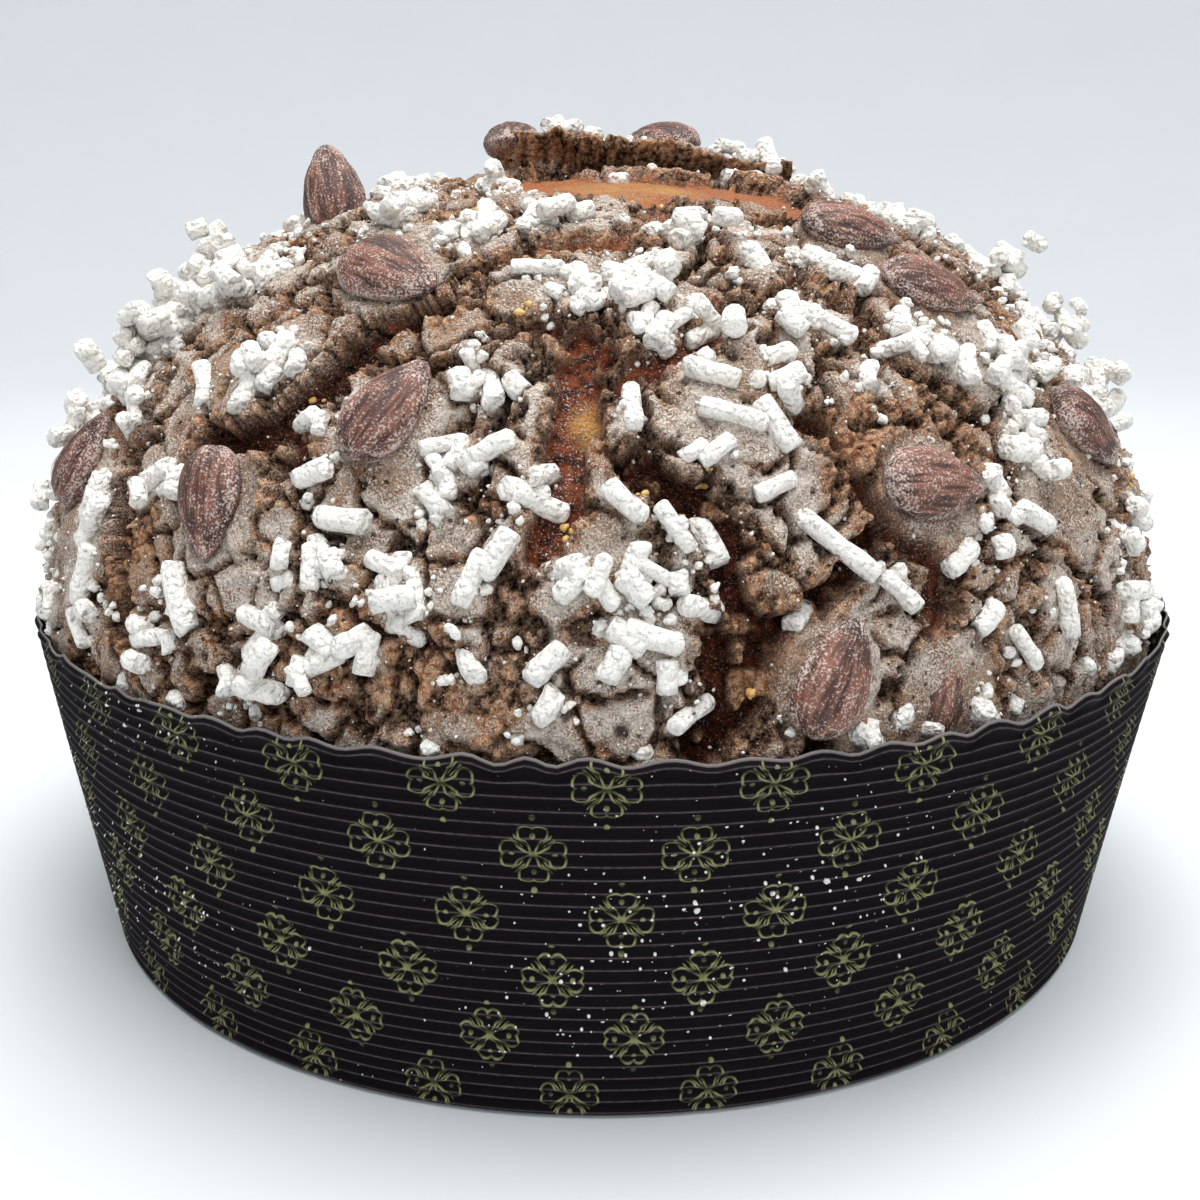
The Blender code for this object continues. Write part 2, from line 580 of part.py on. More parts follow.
def almond_mesh():
    """A unit almond, long along Z: a ball whose sides draw in towards its pointed end."""
    mesh = bpy.data.meshes.new("almond")
    shape = bmesh.new()
    bmesh.ops.create_uvsphere(shape, u_segments=ALMOND_SIDES, v_segments=ALMOND_RINGS, radius=1.0)
    for point in shape.verts:
        slim = 1.0 - ALMOND_TAPER * point.co.z
        point.co.x *= slim
        point.co.y *= slim
        point.co.z += 0.07 * max(point.co.z, 0.0) ** 4
    bmesh.ops.triangulate(shape, faces=shape.faces)
    shape.to_mesh(mesh)
    shape.free()
    return mesh


def place_almond(name, mesh, place, grown, group):
    """An almond object, grown by some millimetres on every side, at its place."""
    *place, size = place
    length, width, thick = (size * side for side in ALMOND_MM)
    item = bpy.data.objects.new(name, mesh)
    group.objects.link(item)
    half = Vector((width / 2.0 + grown, thick / 2.0 + grown, length / 2.0 + grown)) * MM
    item.matrix_world = almond_frame(*place) @ Matrix.Diagonal((*half, 1.0))
    return item


def make_almonds(group, cutters):
    """The almonds, and for each a cutter that is a little larger and makes its seat in the loaf."""
    mesh = almond_mesh()
    mesh.materials.append(finish_material("almond"))
    mesh.shade_smooth()
    for number, place in enumerate(almond_places(), 1):
        place_almond(f"almond_{number:02d}", mesh, place, 0.0, group)
        cutter = place_almond(f"seat_{number:02d}", mesh, place, CLEARANCE_MM, cutters)
        cutter.hide_render = True
        cutter.display_type = "WIRE"


def add_rod(first, last, radius, group):
    """One piece of sugar: a short five-sided rod between two points in millimetres."""
    axis = Vector(last - first)
    middle = Vector((first + last) / 2.0)
    length = axis.length + radius
    bpy.ops.mesh.primitive_cone_add(
        vertices=ROD_SIDES, radius1=radius * MM, radius2=radius * 0.85 * MM, depth=length * MM, end_fill_type="NGON"
    )
    item = move_to(bpy.context.object, group)
    item.matrix_world = Matrix.Translation(middle * MM) @ axis.to_track_quat("Z", "Y").to_matrix().to_4x4()


def combine(item, group, operation):
    """Applies one Boolean of the object with a whole collection."""
    cut = item.modifiers.new(operation.lower(), "BOOLEAN")
    cut.operation = operation
    cut.operand_type = "COLLECTION"
    cut.collection = group
    cut.solver = "MANIFOLD"
    bpy.context.view_layer.update()
    return applied(item)


def keep_largest_body(item):
    """Drops loose scraps and the walls of sealed hollows, so that one closed body is left."""
    shape = bmesh.new()
    shape.from_mesh(item.data)
    left = set(shape.verts)
    bodies = []
    while left:
        body, edge = set(), [left.pop()]
        while edge:
            point = edge.pop()
            body.add(point)
            fresh = {link.other_vert(point) for link in point.link_edges} & left
            left -= fresh
            edge.extend(fresh)
        bodies.append(body)
    bodies.sort(key=len)
    loose = [point for body in bodies[:-1] for point in body]
    bmesh.ops.delete(shape, geom=loose, context="VERTS")
    shape.to_mesh(item.data)
    shape.free()


def make_sugar(loaf):
    """Fuses the larger pieces of sugar to the loaf."""
    group = new_collection("sugar")
    for first, last, radius, rank in settled_sugar():
        if rank <= SOLID_RANKS:
            add_rod(first, last, radius, group)
    combine(loaf, group, "UNION")
    for item in list(group.objects):
        bpy.data.objects.remove(item, do_unlink=True)
    bpy.data.collections.remove(group)


def main():
    clear_scene()
    parts = new_collection("panettone")
    cutters = new_collection("seats")
    make_mould(parts)
    loaf = make_loaf(parts)
    make_almonds(parts, cutters)
    combine(loaf, cutters, "DIFFERENCE")
    make_sugar(loaf)
    keep_largest_body(loaf)


main()
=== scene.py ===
"""Low almond-glazed panettone in its fluted paper mould: its look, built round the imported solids.

Lengths in the code are millimetres where nothing else is said, and become metres where a mesh is made.
A place on the dome is a turn round from the front, towards +X, and a climb above the dome's centre, both
in degrees.
"""

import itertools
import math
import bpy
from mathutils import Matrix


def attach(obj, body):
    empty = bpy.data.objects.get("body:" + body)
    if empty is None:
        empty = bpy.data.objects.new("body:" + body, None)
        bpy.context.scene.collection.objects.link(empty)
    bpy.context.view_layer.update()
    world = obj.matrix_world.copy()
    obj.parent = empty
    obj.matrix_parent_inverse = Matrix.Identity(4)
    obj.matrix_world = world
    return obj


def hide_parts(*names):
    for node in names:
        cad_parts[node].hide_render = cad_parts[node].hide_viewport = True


bl_info = {
    "name": "Almond-glazed panettone",
    "version": (1, 0, 0),
    "blender": (4, 5, 0),
    "location": "View3D > Sidebar > Panettone",
    "description": "Builds the crust, sugar, almonds and printed paper mould of a low panettone",
    "category": "Add Mesh",
}

from functools import partial

import bmesh
import bpy
import numpy as np
from bpy.props import FloatProperty, FloatVectorProperty, IntProperty, PointerProperty
from mathutils import Euler

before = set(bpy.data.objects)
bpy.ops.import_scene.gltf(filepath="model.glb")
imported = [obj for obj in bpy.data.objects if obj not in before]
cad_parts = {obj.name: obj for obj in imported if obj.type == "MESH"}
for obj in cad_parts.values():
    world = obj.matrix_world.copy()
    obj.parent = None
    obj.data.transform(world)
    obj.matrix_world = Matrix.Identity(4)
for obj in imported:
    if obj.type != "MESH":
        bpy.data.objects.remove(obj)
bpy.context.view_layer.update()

MM = 0.001
GOLDEN_ANGLE = math.pi * (3.0 - math.sqrt(5.0))

# Paper mould
BASE_RADIUS_MM = 104.0
RIM_RADIUS_MM = 115.4
MOULD_HEIGHT_MM = 66.0
PAPER_MM = 1.1
FLOOR_MM = 1.2
SCALLOPS = 66
SCALLOP_DEPTH_MM = 1.1
RIM_SWAY_MM = 1.1
FLUTES = 28
MEAN_RADIUS_MM = (BASE_RADIUS_MM + RIM_RADIUS_MM) / 2.0
LEAN = (RIM_RADIUS_MM - BASE_RADIUS_MM) / MOULD_HEIGHT_MM

# Loaf
DOME_RADIUS_MM = 112.5
DOME_HEIGHT_MM = 93.0
DOME_CENTRE_MM = 56.0
DOME_POWER = 2.25
PINCH_MM = 3.2
PINCH_TOP_MM = 74.0
PINCH_BOTTOM_MM = 36.0
LOWEST_CLIMB = -8.0
BODY_FOOT_RADIUS_MM = 102.6
WALL_GAP_MM = 0.6

# Glaze crust
FISSURE_WANDER_MM = 2.0
FISSURE_RAG_MM = 1.0
EDGE_MM = 1.0
PLATE_COUNT = 84
PLATE_LIFT_MM = 0.9
GROOVE_MM = 2.4
GROOVE_HALF_MM = 1.5
LUMP_MM = 0.9
LIP_MM = 0.7
BREAD_WAVE_MM = 0.8

# Fissures seen from the front: (turn, climb) points, half-width at each end and depth
FISSURES = {
    "crown": ([(-13, 78), (24, 74), (50, 69)], 17.0, 14.0, 3.0),
    "front": ([(-1, 39), (-2, 32), (-3, 24), (-6, 17), (-8, 13), (-8, 7)], 5.5, 1.4, 3.6),
    "front_left": ([(-8, 13), (-13, 13), (-18, 14), (-22, 16), (-28, 17)], 1.7, 0.9, 3.4),
    "ridge": ([(-2, 33), (4, 36), (10, 38), (16, 42)], 2.6, 1.7, 2.8),
    "upper_left": ([(-1, 39), (-4, 40), (-12, 38)], 2.6, 1.2, 2.8),
    "brow": ([(-26, 40), (-20, 44), (-15, 48), (-8, 51), (3, 53), (14, 62)], 2.2, 3.4, 3.4),
    "shoulder": ([(-20, 42), (-26, 39), (-29, 33), (-34, 29), (-42, 27)], 3.0, 3.4, 4.6),
    "shoulder_foot": ([(-30, 32), (-29, 27), (-30, 24)], 2.2, 1.0, 4.0),
    "left": ([(-54, 31), (-54, 24), (-51, 19), (-48, 15), (-46, 9)], 2.2, 2.8, 5.5),
    "middle_right": ([(3, 27), (8, 25), (11, 21), (11, 17), (14, 14)], 2.8, 2.6, 4.4),
    "low_right": ([(10, 16), (9, 13), (10, 10), (8, 5)], 2.4, 1.8, 4.6),
    "right": ([(18, 36), (20, 30), (23, 25), (26, 21), (29, 17), (28, 11)], 1.5, 2.2, 4.0),
    "pit": ([(26, 21), (20, 17), (16, 14), (13, 11), (8, 6)], 1.8, 3.6, 6.0),
    "high_right": ([(16, 42), (28, 47), (31, 40), (33, 34), (35, 29)], 1.8, 1.5, 3.4),
}
# The same fissures again, as (turn, side) of each further set, and the fissures that aren't repeated
REPEATS = ((88.0, -1.0), (180.0, 1.0), (-100.0, -1.0))
NOT_REPEATED = ("crown", "left")

# Flap of glaze that peeled up behind the crown
FLAP_LIFT_MM = 8.0
FLAP_FALL_MM = 3.8
FLAP_FRONT_MM = 3.0
FLAP_LEFT_MM = -19.0
FLAP_RIGHT_MM = 38.0
FLAP_FADE_MM = 34.0

# Almonds: (turn, climb, lie) of those in front, then a spaced row round the back; length, width, thickness
ALMONDS = [
    (-28, 46, -20), (-20, 31, 64), (-36, 22, -73), (-70, 58, 153), (30, 24, -8), (18, 10, 63), (45, 53, -25),
    (46, 43, -30), (57, 26, -50), (29, 7.5, 62), (-62, 22, 75), (-112, 78, 20), (135, 79, 0),
]
# Those that lie unlike the rest, by number: degrees tipped up on end, height of the middle over the dome,
# and size against the others
ODD_ALMONDS = {1: (0.0, 1.2, 1.15), 4: (55.0, 3.6, 1.05), 10: (0.0, -2.9, 0.92)}
BACK_ALMONDS = 11
BACK_TURNS = (84.0, 272.0)
BACK_CLIMBS = (12.0, 60.0)
ALMOND_MM = (18.4, 11.6, 8.2)
ALMOND_TAPER = 0.26
ALMOND_POINT = 0.07
ALMOND_RISE = 0.14
ALMOND_SEAT_MM = 7.5

# Sugar: (turn, climb, lie, length) of rods that lie alone in front, and (turn, climb, pieces) of clusters
LONE_RODS = [
    (23, 48, -64, 10), (3, 32, 90, 9.5), (11, 35, -22, 9), (12, 31, -20, 10.5), (16, 30, -65, 9.5),
    (8, 28, 30, 5), (10, 28, 35, 7), (15, 25, 20, 7.5), (-22, 22, 0, 8.5), (-10, 18, 68, 9), (-8, 20, 60, 8),
    (-37, 14, -58, 11.5), (-54, 13, 80, 11), (20, 20, -43, 16), (25, 16, -50, 8), (24, 12, 5, 11),
    (32, 8, -35, 7), (37, 10, -55, 9), (43, 12, -85, 10.5), (2, 24, -40, 7.5), (6, 22, -55, 9),
    (9, 21, -65, 8), (2, 14, -35, 6.5), (4, 14, -18, 9), (8, 16, -12, 7), (-4, 12, 45, 7.5), (-4, 9, 60, 5.5),
    (1, 12, 60, 5.5), (5, 11, 90, 5.5), (7, 8, 22, 8), (-10, 12, -50, 6.5), (-28, 8, 0, 9), (-46, 32, -52, 9),
    (-38, 32, -80, 8.5), (-29, 30, 10, 6.5), (-8, 47, 4, 9), (28, 34, 60, 5.5), (26, 40, -40, 11),
    (-15, 14, -45, 5), (33, 13, 40, 6), (41, 20, -30, 8), (-10, 28, 25, 9.5), (-24, 10, 80, 5.5),
]
CLUSTERS = [
    (0, 44, 8), (6, 46, 6), (16, 56, 7), (22, 41, 4), (34, 46, 6), (37, 37, 5), (42, 34, 5), (46, 30, 4),
    (44, 25, 4), (57, 21, 4), (-36, 36, 6), (-26, 27, 5), (-11, 34, 5), (-13, 28, 4), (-24, 18, 5),
    (-16, 18, 5), (-5, 24, 4), (-14, 24, 2), (-41, 10, 4), (-28, 12, 4), (-22, 11, 3), (-18, 12, 2),
    (-34, 7, 4), (-2, 18, 5), (4, 19, 4), (23, 9, 5), (-80, 55, 6), (-42, 58, 6), (-22, 56, 5), (-10, 58, 6),
    (-53, 44, 5), (-67, 37, 6), (-77, 44, 6), (-74, 31, 5), (58, 16, 4), (56, 11, 3), (-56, 19, 5),
    (-54, 8, 4), (33, 18, 3), (38, 22, 3), (8, 40, 5), (12, 40, 3), (-100, 66, 7), (-160, 82, 7),
    (118, 74, 6), (92, 71, 5), (74, 54, 5), (66, 28, 5), (-57, 28, 4), (-44, 23, 4), (-45, 5, 3), (18, 34, 4),
    (18, 15, 2), (46, 5, 4),
]
# Heaps, whose later pieces lie in layers on the first ones: (turn, climb, pieces)
HEAPS = [
    (-76, 45, 10), (-70, 39, 11), (-64, 35, 11), (-60, 42, 9), (-63, 30, 10), (-53, 44, 8), (-72, 24, 8),
    (76, 42, 9), (75, 35, 9), (74, 28, 10), (49, 34, 8), (56, 30, 8),
]
HEAP_LAYER = 4
HEAP_RISE = 0.95
BACK_GROUPS = 106
BACK_SPACING_MM = 12.0
BACK_ALONE_SHARE = 0.35
IN_VIEW_DEGREES = 62.0
ROD_RADIUS_MM = 2.15
BACK_ROD_MM = (6.0, 11.0)
CLUSTER_ROD_MM = (3.6, 8.5)
CLUSTER_SPREAD_MM = 4.6
ROD_RISE = 0.3
STACK_RISE = 1.6
SEED = 11

# Clumps of small sugar where it lies thick: (turn, climb, reach, lumps)
CLUMPS = [
    (-66, 40, 9, 46), (-72, 30, 9, 46), (-60, 50, 8, 30), (-80, 20, 8, 30), (-70, 12, 7, 24),
    (-50, 62, 7, 30), (-30, 68, 6, 28), (-14, 60, 5, 22), (3, 46, 6, 34), (18, 57, 5, 24), (40, 38, 7, 34),
    (50, 32, 7, 34), (60, 24, 7, 30), (66, 36, 8, 36), (30, 50, 5, 20), (-24, 54, 6, 24), (-40, 12, 6, 22),
    (-30, 6, 5, 18), (60, 6, 6, 26), (70, 4, 6, 26), (48, 3, 5, 18), (-18, 17, 5, 18), (4, 17, 5, 18),
    (-36, 37, 5, 22),
]

# Places where the bread stretched golden: (turn, climb, reach)
GOLDEN = [(10, 77, 16.0), (-8, 37, 6.0), (-1, 31, 5.0), (30, 74, 8.0), (-30, 60, 7.0)]

# Lumps of sugar wedged between the loaf and the mould's rim: (turn, climb, radius)
WEDGED = [
    (21, 5.4, 2.4), (24.5, 6.0, 2.7), (27, 5.0, 1.8), (32, 5.6, 2.5), (36, 5.2, 2.0), (-46, 4.6, 2.6),
    (-50, 5.4, 2.2), (-38, 5.0, 2.1), (-66, 5.0, 2.6), (-72, 6.0, 2.4), (52, 5.4, 2.2), (3, 5.2, 1.9),
    (-13, 5.0, 1.7), (47, 6.2, 1.9), (55, 6.4, 2.4), (58, 5.4, 2.6), (61, 6.6, 2.2), (65, 5.6, 2.5),
    (70, 6.2, 2.3), (76, 5.6, 2.2),
]

# Yellow specks of candied peel in the crust: how many are spread round the back, and (turn, climb) in front
BACK_PEEL = 14
PEEL = [
    (-9, 42), (-3, 22), (4, 25), (9, 26), (-24, 60), (-26, 62), (66, 22), (68, 19), (12, 52), (20, 66),
    (35, 50), (12, 9), (-31, 33),
]

# Rosette print on the paper, placed from its top row
ROW_TOP_MM = 61.6
FIRST_COLUMN_TURN = 0.5
ROW_SHIFT_TURN = 0.6
DOT_LIFT_MM = 6.3

# The flap's front edge leans out this far over the bread below it, and crumbs narrow each fissure's side
FLAP_LEAN_MM = 6.5
NARROWER_MM = 1.2

# Widths of the crumbs in broken edges, and of the cells that hair cracks part
COARSE_CRUMB_MM = 2.7
FINE_CRUMB_MM = 1.5
CRACK_CELL_MM = 9.0

# The loaf's hidden foot: (radius, height) rows above its base
FOOT_ROWS = [(0.0, 60.0), (96.0, 56.0), (106.0, 45.0), (104.0, 24.0), (BODY_FOOT_RADIUS_MM, 9.0)]

# Mesh fineness: points along a side of the crust's grid, and points round the mould, foot and studio
CRUST_SIDE = 633
MOULD_STEPS = 462
FOOT_STEPS = 160
COVE_STEPS = 96

# The photograph's camera
CAMERA_MM = (0.0, -326.8, 148.6)
CAMERA_PITCH = 0.268
FOCAL_MM = 46.98


def hex_colour(code):
    """An sRGB hex colour, such as #B08A6C, as linear red, green, blue and alpha."""
    parts = [int(code[k : k + 2], 16) / 255.0 for k in (1, 3, 5)]
    linear = [c / 12.92 if c <= 0.04045 else ((c + 0.055) / 1.055) ** 2.4 for c in parts]
    return (*linear, 1.0)


def colour_property(name, description, code):
    """A colour setting whose default is an sRGB hex colour."""
    usual = hex_colour(code)
    return FloatVectorProperty(
        name=name, description=description, subtype="COLOR", size=4, min=0.0, max=1.0, default=usual
    )


def length_property(name, description, length_mm):
    """A length setting in metres, whose default is given in millimetres."""
    return FloatProperty(name=name, description=description, default=length_mm * MM, unit="LENGTH")


class PanettoneSizes(bpy.types.PropertyGroup):
    """Sizes and amounts of the panettone's details."""

    flute_depth: length_property("Flute depth", "Depth of the paper's flutes", 0.75)
    paper_sheet: length_property("Paper", "Thickness of the folded paper", 0.35)
    rosette: length_property("Rosette", "Width of a printed rosette", 10.2)
    rosette_columns: IntProperty(name="Rosettes round", description="Rosettes in each row", default=29)
    rosette_rise: length_property("Row rise", "Height between printed rows", 11.4)
    crumb: length_property("Crumb", "Roughness of the broken glaze edges", 0.8)
    pores: length_property("Pores", "Depth of the glaze's pores", 1.3)
    sugar_lumps: IntProperty(name="Sugar lumps", description="Small lumps of sugar", default=1500)
    sugar_grains: IntProperty(name="Sugar grains", description="Loose grains of sugar", default=6500)
    paper_flecks: IntProperty(name="Paper flecks", description="Sugar flecks on the paper", default=260)


class PanettoneColours(bpy.types.PropertyGroup):
    """Colours of the panettone's finishes."""

    glaze: colour_property("Glaze", "Dry almond glaze", "#C4A48A")
    glaze_dark: colour_property("Dark glaze", "Darker grains of the glaze", "#8A6650")
    crumb: colour_property("Crumb", "Broken edges of the glaze", "#DEAE84")
    crumb_dark: colour_property("Dark crumb", "Darker crumbs in the broken edges", "#935C3E")
    # Painted shade: near-black laid over cracks, pores, pinholes, deep fissures, nooks between crumbs and the
    # flap's foot
    painted_shade: colour_property("Hollow", "Crust deep in cracks and pores", "#150A06")
    bread: colour_property("Bread", "Baked bread that shows between the plates", "#8C4422")
    bread_dark: colour_property("Dark bread", "Bread deep in the fissures", "#421A0B")
    bread_top: colour_property("Bread at the crown", "Paler bread skin at the crown", "#C0723F")
    bread_gold: colour_property("Golden bread", "Golden patches of stretched bread", "#CB9450")
    sugar: colour_property("Sugar", "Pearl sugar", "#FFFBF4")
    sugar_warm: colour_property("Warm sugar", "Creamier patches of the sugar", "#E2D8C8")
    dust: colour_property("Dust", "Fine sugar dust", "#E8DDD2")
    almond: colour_property("Almond skin", "Roasted almond skin", "#82503D")
    # Painted shade: the darker colour in the almond skin's furrows
    almond_furrow_shade: colour_property("Dark almond skin", "Furrows of the almond skin", "#3C2019")
    almond_dust: colour_property("Almond dust", "Sugar dust on the almonds", "#DCD0C8")
    paper: colour_property("Paper", "Aubergine-brown baking paper", "#110D11")
    # Paler crests of the paper: partly real wear, partly a painted sheen
    paper_wear_and_sheen: colour_property("Worn paper", "The paper along its crests", "#6C6264")
    paper_edge: colour_property("Cut paper", "The paper's cut edge", "#7A7472")
    ink: colour_property("Print", "Olive-gold print on the paper", "#84865C")
    peel: colour_property("Peel", "Candied peel", "#D2AE3C")
    floor: colour_property("Floor", "The pale floor", "#D5D9DC")
    air: colour_property("Air", "Light from all round", "#EFF0F1")


def smooth_step(low, high, value):
    """0 below low, 1 above high, and a smooth rise between them."""
    share = np.clip((value - low) / (high - low), 0.0, 1.0)
    return share * share * (3.0 - 2.0 * share)


def bell(value, width):
    """1 at 0, falling away on both sides to 0.37 at the width."""
    return np.exp(-((value / width) ** 2))


def lattice_random(cell, seed):
    """A repeatable number from 0 to 1 for each whole-number cell, made by mixing its coordinates' bits."""
    step = np.array([73856093, 19349663, 83492791], np.uint32)
    mixed = (cell.astype(np.int64).astype(np.uint32) * step).sum(axis=-1, dtype=np.uint32)
    mixed = mixed + np.uint32(seed * 977 + 13)
    mixed = (mixed ^ (mixed >> np.uint32(15))) * np.uint32(2246822519)
    mixed = (mixed ^ (mixed >> np.uint32(13))) * np.uint32(3266489917)
    return ((mixed ^ (mixed >> np.uint32(16))) >> np.uint32(8)) / float(1 << 24)


def value_noise(points, size, seed):
    """Smooth noise from -1 to 1 with bumps about as wide as size."""
    scaled = points / size
    base = np.floor(scaled)
    part = scaled - base
    fade = part * part * (3.0 - 2.0 * part)
    total = np.zeros(len(points))
    for corner in itertools.product((0, 1), repeat=3):
        weight = np.prod(np.where(corner, fade, 1.0 - fade), axis=1)
        total += weight * lattice_random(base + corner, seed)
    return 2.0 * total - 1.0


def cell_pits(points, size, seed, share):
    """How far inside a round pit each point is, as 0 at the pit's border and 1 at its middle. Each cube of
    that size may hold one pit, at a random place and of a random width, and only a share of them do."""
    scaled = points / size
    base = np.floor(scaled)
    depth = np.zeros(len(points))
    for offset in itertools.product((-1, 0, 1), repeat=3):
        cell = base + offset
        middle = cell + np.stack([lattice_random(cell, seed + k) for k in range(3)], axis=1)
        width = 0.1 + 0.22 * lattice_random(cell, seed + 3)
        held = lattice_random(cell, seed + 4) < share
        inside = 1.0 - np.linalg.norm(scaled - middle, axis=1) / width
        depth = np.maximum(depth, np.where(held, inside, 0.0))
    return depth


def nearest_two(points, size, seed):
    """Distances, in units of size, to the nearest and the second nearest of many spots, and a random number
    of the nearest one. A spot lies at a random place in each cube of that size."""
    scaled = points / size
    base = np.floor(scaled)
    first = np.full(len(points), 9.0)
    second = first.copy()
    pick = np.zeros(len(points))
    for offset in itertools.product((-1, 0, 1), repeat=3):
        cell = base + offset
        chance = [lattice_random(cell, seed + k) for k in range(3)]
        away = np.linalg.norm(scaled - cell - np.stack(chance, axis=1), axis=1)
        second = np.minimum(second, np.maximum(first, away))
        pick = np.where(away < first, chance[0], pick)
        first = np.minimum(first, away)
    return first, second, pick


def drift(points, size, reach, seed):
    """Points moved about by up to reach, by noise of that size."""
    return points + reach * np.stack([value_noise(points, size, seed + k) for k in range(3)], axis=1)


def direction(turn, climb):
    """Unit vectors for turns and climbs in degrees."""
    a, c = np.radians(turn), np.radians(climb)
    return np.stack([np.sin(a) * np.cos(c), -np.cos(a) * np.cos(c), np.sin(c)], axis=-1)


def dome_points(ways):
    """The smooth dome's points along unit vectors from its centre: a rounded superellipse turned about Z,
    drawn in near the mould's rim."""
    across = np.hypot(ways[:, 0], ways[:, 1])
    reach = (across / DOME_RADIUS_MM) ** DOME_POWER + (np.abs(ways[:, 2]) / DOME_HEIGHT_MM) ** DOME_POWER
    points = ways * reach[:, None] ** (-1.0 / DOME_POWER)
    points[:, 2] += DOME_CENTRE_MM
    pinch = PINCH_MM * smooth_step(PINCH_TOP_MM, PINCH_BOTTOM_MM, points[:, 2])
    radius = np.maximum(np.hypot(points[:, 0], points[:, 1]), 1e-6)
    points[:, :2] *= (1.0 - pinch / radius)[:, None]
    return points


def dome_normals(ways):
    """Outward unit normals of the smooth dome along unit vectors."""
    across = np.maximum(np.hypot(ways[:, 0], ways[:, 1]), 1e-9)
    flat = (across / DOME_RADIUS_MM) ** (DOME_POWER - 1.0) / DOME_RADIUS_MM
    up = np.sign(ways[:, 2]) * (np.abs(ways[:, 2]) / DOME_HEIGHT_MM) ** (DOME_POWER - 1.0) / DOME_HEIGHT_MM
    normals = np.column_stack([flat * ways[:, 0] / across, flat * ways[:, 1] / across, up])
    return normals / np.linalg.norm(normals, axis=1)[:, None]


def fissure_runs():
    """Every straight run of every fissure: its two ends, half-widths there and its depth."""
    runs = []
    for name, (places, start, end, depth) in FISSURES.items():
        turns = [(0.0, 1.0)] + ([] if name in NOT_REPEATED else list(REPEATS))
        for middle, side in turns:
            way = np.array([direction(middle + side * turn, climb) for turn, climb in places])
            points = dome_points(way)
            widths = np.linspace(start, end, len(places))
            for k in range(len(places) - 1):
                runs.append((points[k], points[k + 1], widths[k], widths[k + 1], depth))
    return runs


def fissure_field(points):
    """How far each point is outside the nearest fissure, negative inside, and that fissure's depth."""
    ragged = drift(drift(points, 15.0, FISSURE_WANDER_MM, 21), 5.0, FISSURE_RAG_MM, 31)
    gap = np.full(len(points), 1e3)
    depth = np.zeros(len(points))
    for first, last, wide, narrow, deep in fissure_runs():
        along = last - first
        share = np.clip((ragged - first) @ along / (along @ along), 0.0, 1.0)
        away = np.linalg.norm(ragged - first - share[:, None] * along, axis=1)
        away -= wide + (narrow - wide) * share
        depth = np.where(away < gap, deep, depth)
        gap = np.minimum(gap, away)
    return gap, depth


def plate_seeds():
    """Middles of the glaze plates: a golden-angle spiral over the dome, each nudged aside at random."""
    rank = np.arange(PLATE_COUNT) + 0.5
    rise = 1.0 - (rank / PLATE_COUNT) * (1.0 - math.sin(math.radians(LOWEST_CLIMB)))
    turn = np.degrees(rank * GOLDEN_ANGLE)
    points = dome_points(direction(turn, np.degrees(np.arcsin(rise))))
    return points + np.random.default_rng(SEED).uniform(-6.0, 6.0, points.shape)


def plate_field(points):
    """How far each point is inside its glaze plate's border, and that plate's lift."""
    seeds = plate_seeds()
    lifts = np.random.default_rng(SEED + 1).uniform(-PLATE_LIFT_MM, PLATE_LIFT_MM, PLATE_COUNT)
    ragged = drift(points, 7.0, 2.2, 41)
    nearest = np.full(len(points), 1e3)
    second = np.full(len(points), 1e3)
    lift = np.zeros(len(points))
    for seed, height in zip(seeds, lifts):
        away = np.linalg.norm(ragged - seed, axis=1)
        second = np.minimum(second, np.maximum(nearest, away))
        lift = np.where(away < nearest, height, lift)
        nearest = np.minimum(nearest, away)
    return (second - nearest) / 2.0, lift


def flap_lift(points):
    """Extra height of the peeled flap: full at its front edge, lower towards its right end, fading backwards
    and ragged at its ends."""
    ragged = drift(points, 8.0, 2.5, 51)
    front = smooth_step(-EDGE_MM, EDGE_MM, ragged[:, 1] - FLAP_FRONT_MM)
    left = smooth_step(-3.0, 3.0, ragged[:, 0] - FLAP_LEFT_MM)
    right = smooth_step(-EDGE_MM, EDGE_MM, FLAP_RIGHT_MM - ragged[:, 0])
    fade = smooth_step(FLAP_FRONT_MM + FLAP_FADE_MM, FLAP_FRONT_MM, points[:, 1])
    above = points[:, 2] > DOME_CENTRE_MM
    fallen = FLAP_FALL_MM * np.clip((points[:, 0] - FLAP_LEFT_MM) / (FLAP_RIGHT_MM - FLAP_LEFT_MM), 0.0, 1.0)
    return (FLAP_LIFT_MM - fallen) * front * left * right * fade * above


def almond_places():
    """(turn, climb, lie, tip, raised, size) of every almond: those in front, then a golden-ratio spread round
    the back."""
    rng = np.random.default_rng(SEED + 2)
    golden = (math.sqrt(5.0) - 1.0) / 2.0
    places = list(ALMONDS)
    for k in range(BACK_ALMONDS):
        turn = BACK_TURNS[0] + (BACK_TURNS[1] - BACK_TURNS[0]) * (k + 0.5) / BACK_ALMONDS
        climb = BACK_CLIMBS[0] + (BACK_CLIMBS[1] - BACK_CLIMBS[0]) * ((k * golden) % 1.0)
        places.append((turn, climb, rng.uniform(-90.0, 90.0)))
    usual = (0.0, ALMOND_MM[2] * ALMOND_RISE, 1.0)
    return [(*place, *ODD_ALMONDS.get(number, usual)) for number, place in enumerate(places, 1)]


def seat_field(points):
    """1 under and round each almond, where the glaze holds it and nothing splits, and 0 away from them."""
    seats = dome_points(np.array([direction(turn, climb) for turn, climb, *_ in almond_places()]))
    near = np.min([np.linalg.norm(points - seat, axis=1) for seat in seats], axis=0)
    return smooth_step(ALMOND_SEAT_MM + 3.0, ALMOND_SEAT_MM, near)


def soft_forms(points, gap):
    """(height, grooved) of the glaze at the dome's points: the height of its lumps and of the lip along each
    fissure, and how far the grooves between plates show there, from 0 to 1."""
    lumps = LUMP_MM * (value_noise(points, 11.0, 61) + 0.5 * value_noise(points, 5.0, 62))
    return lumps + LIP_MM * bell(gap - 2.0, 1.6), smooth_step(-0.5, 0.2, value_noise(points, 28.0, 63))


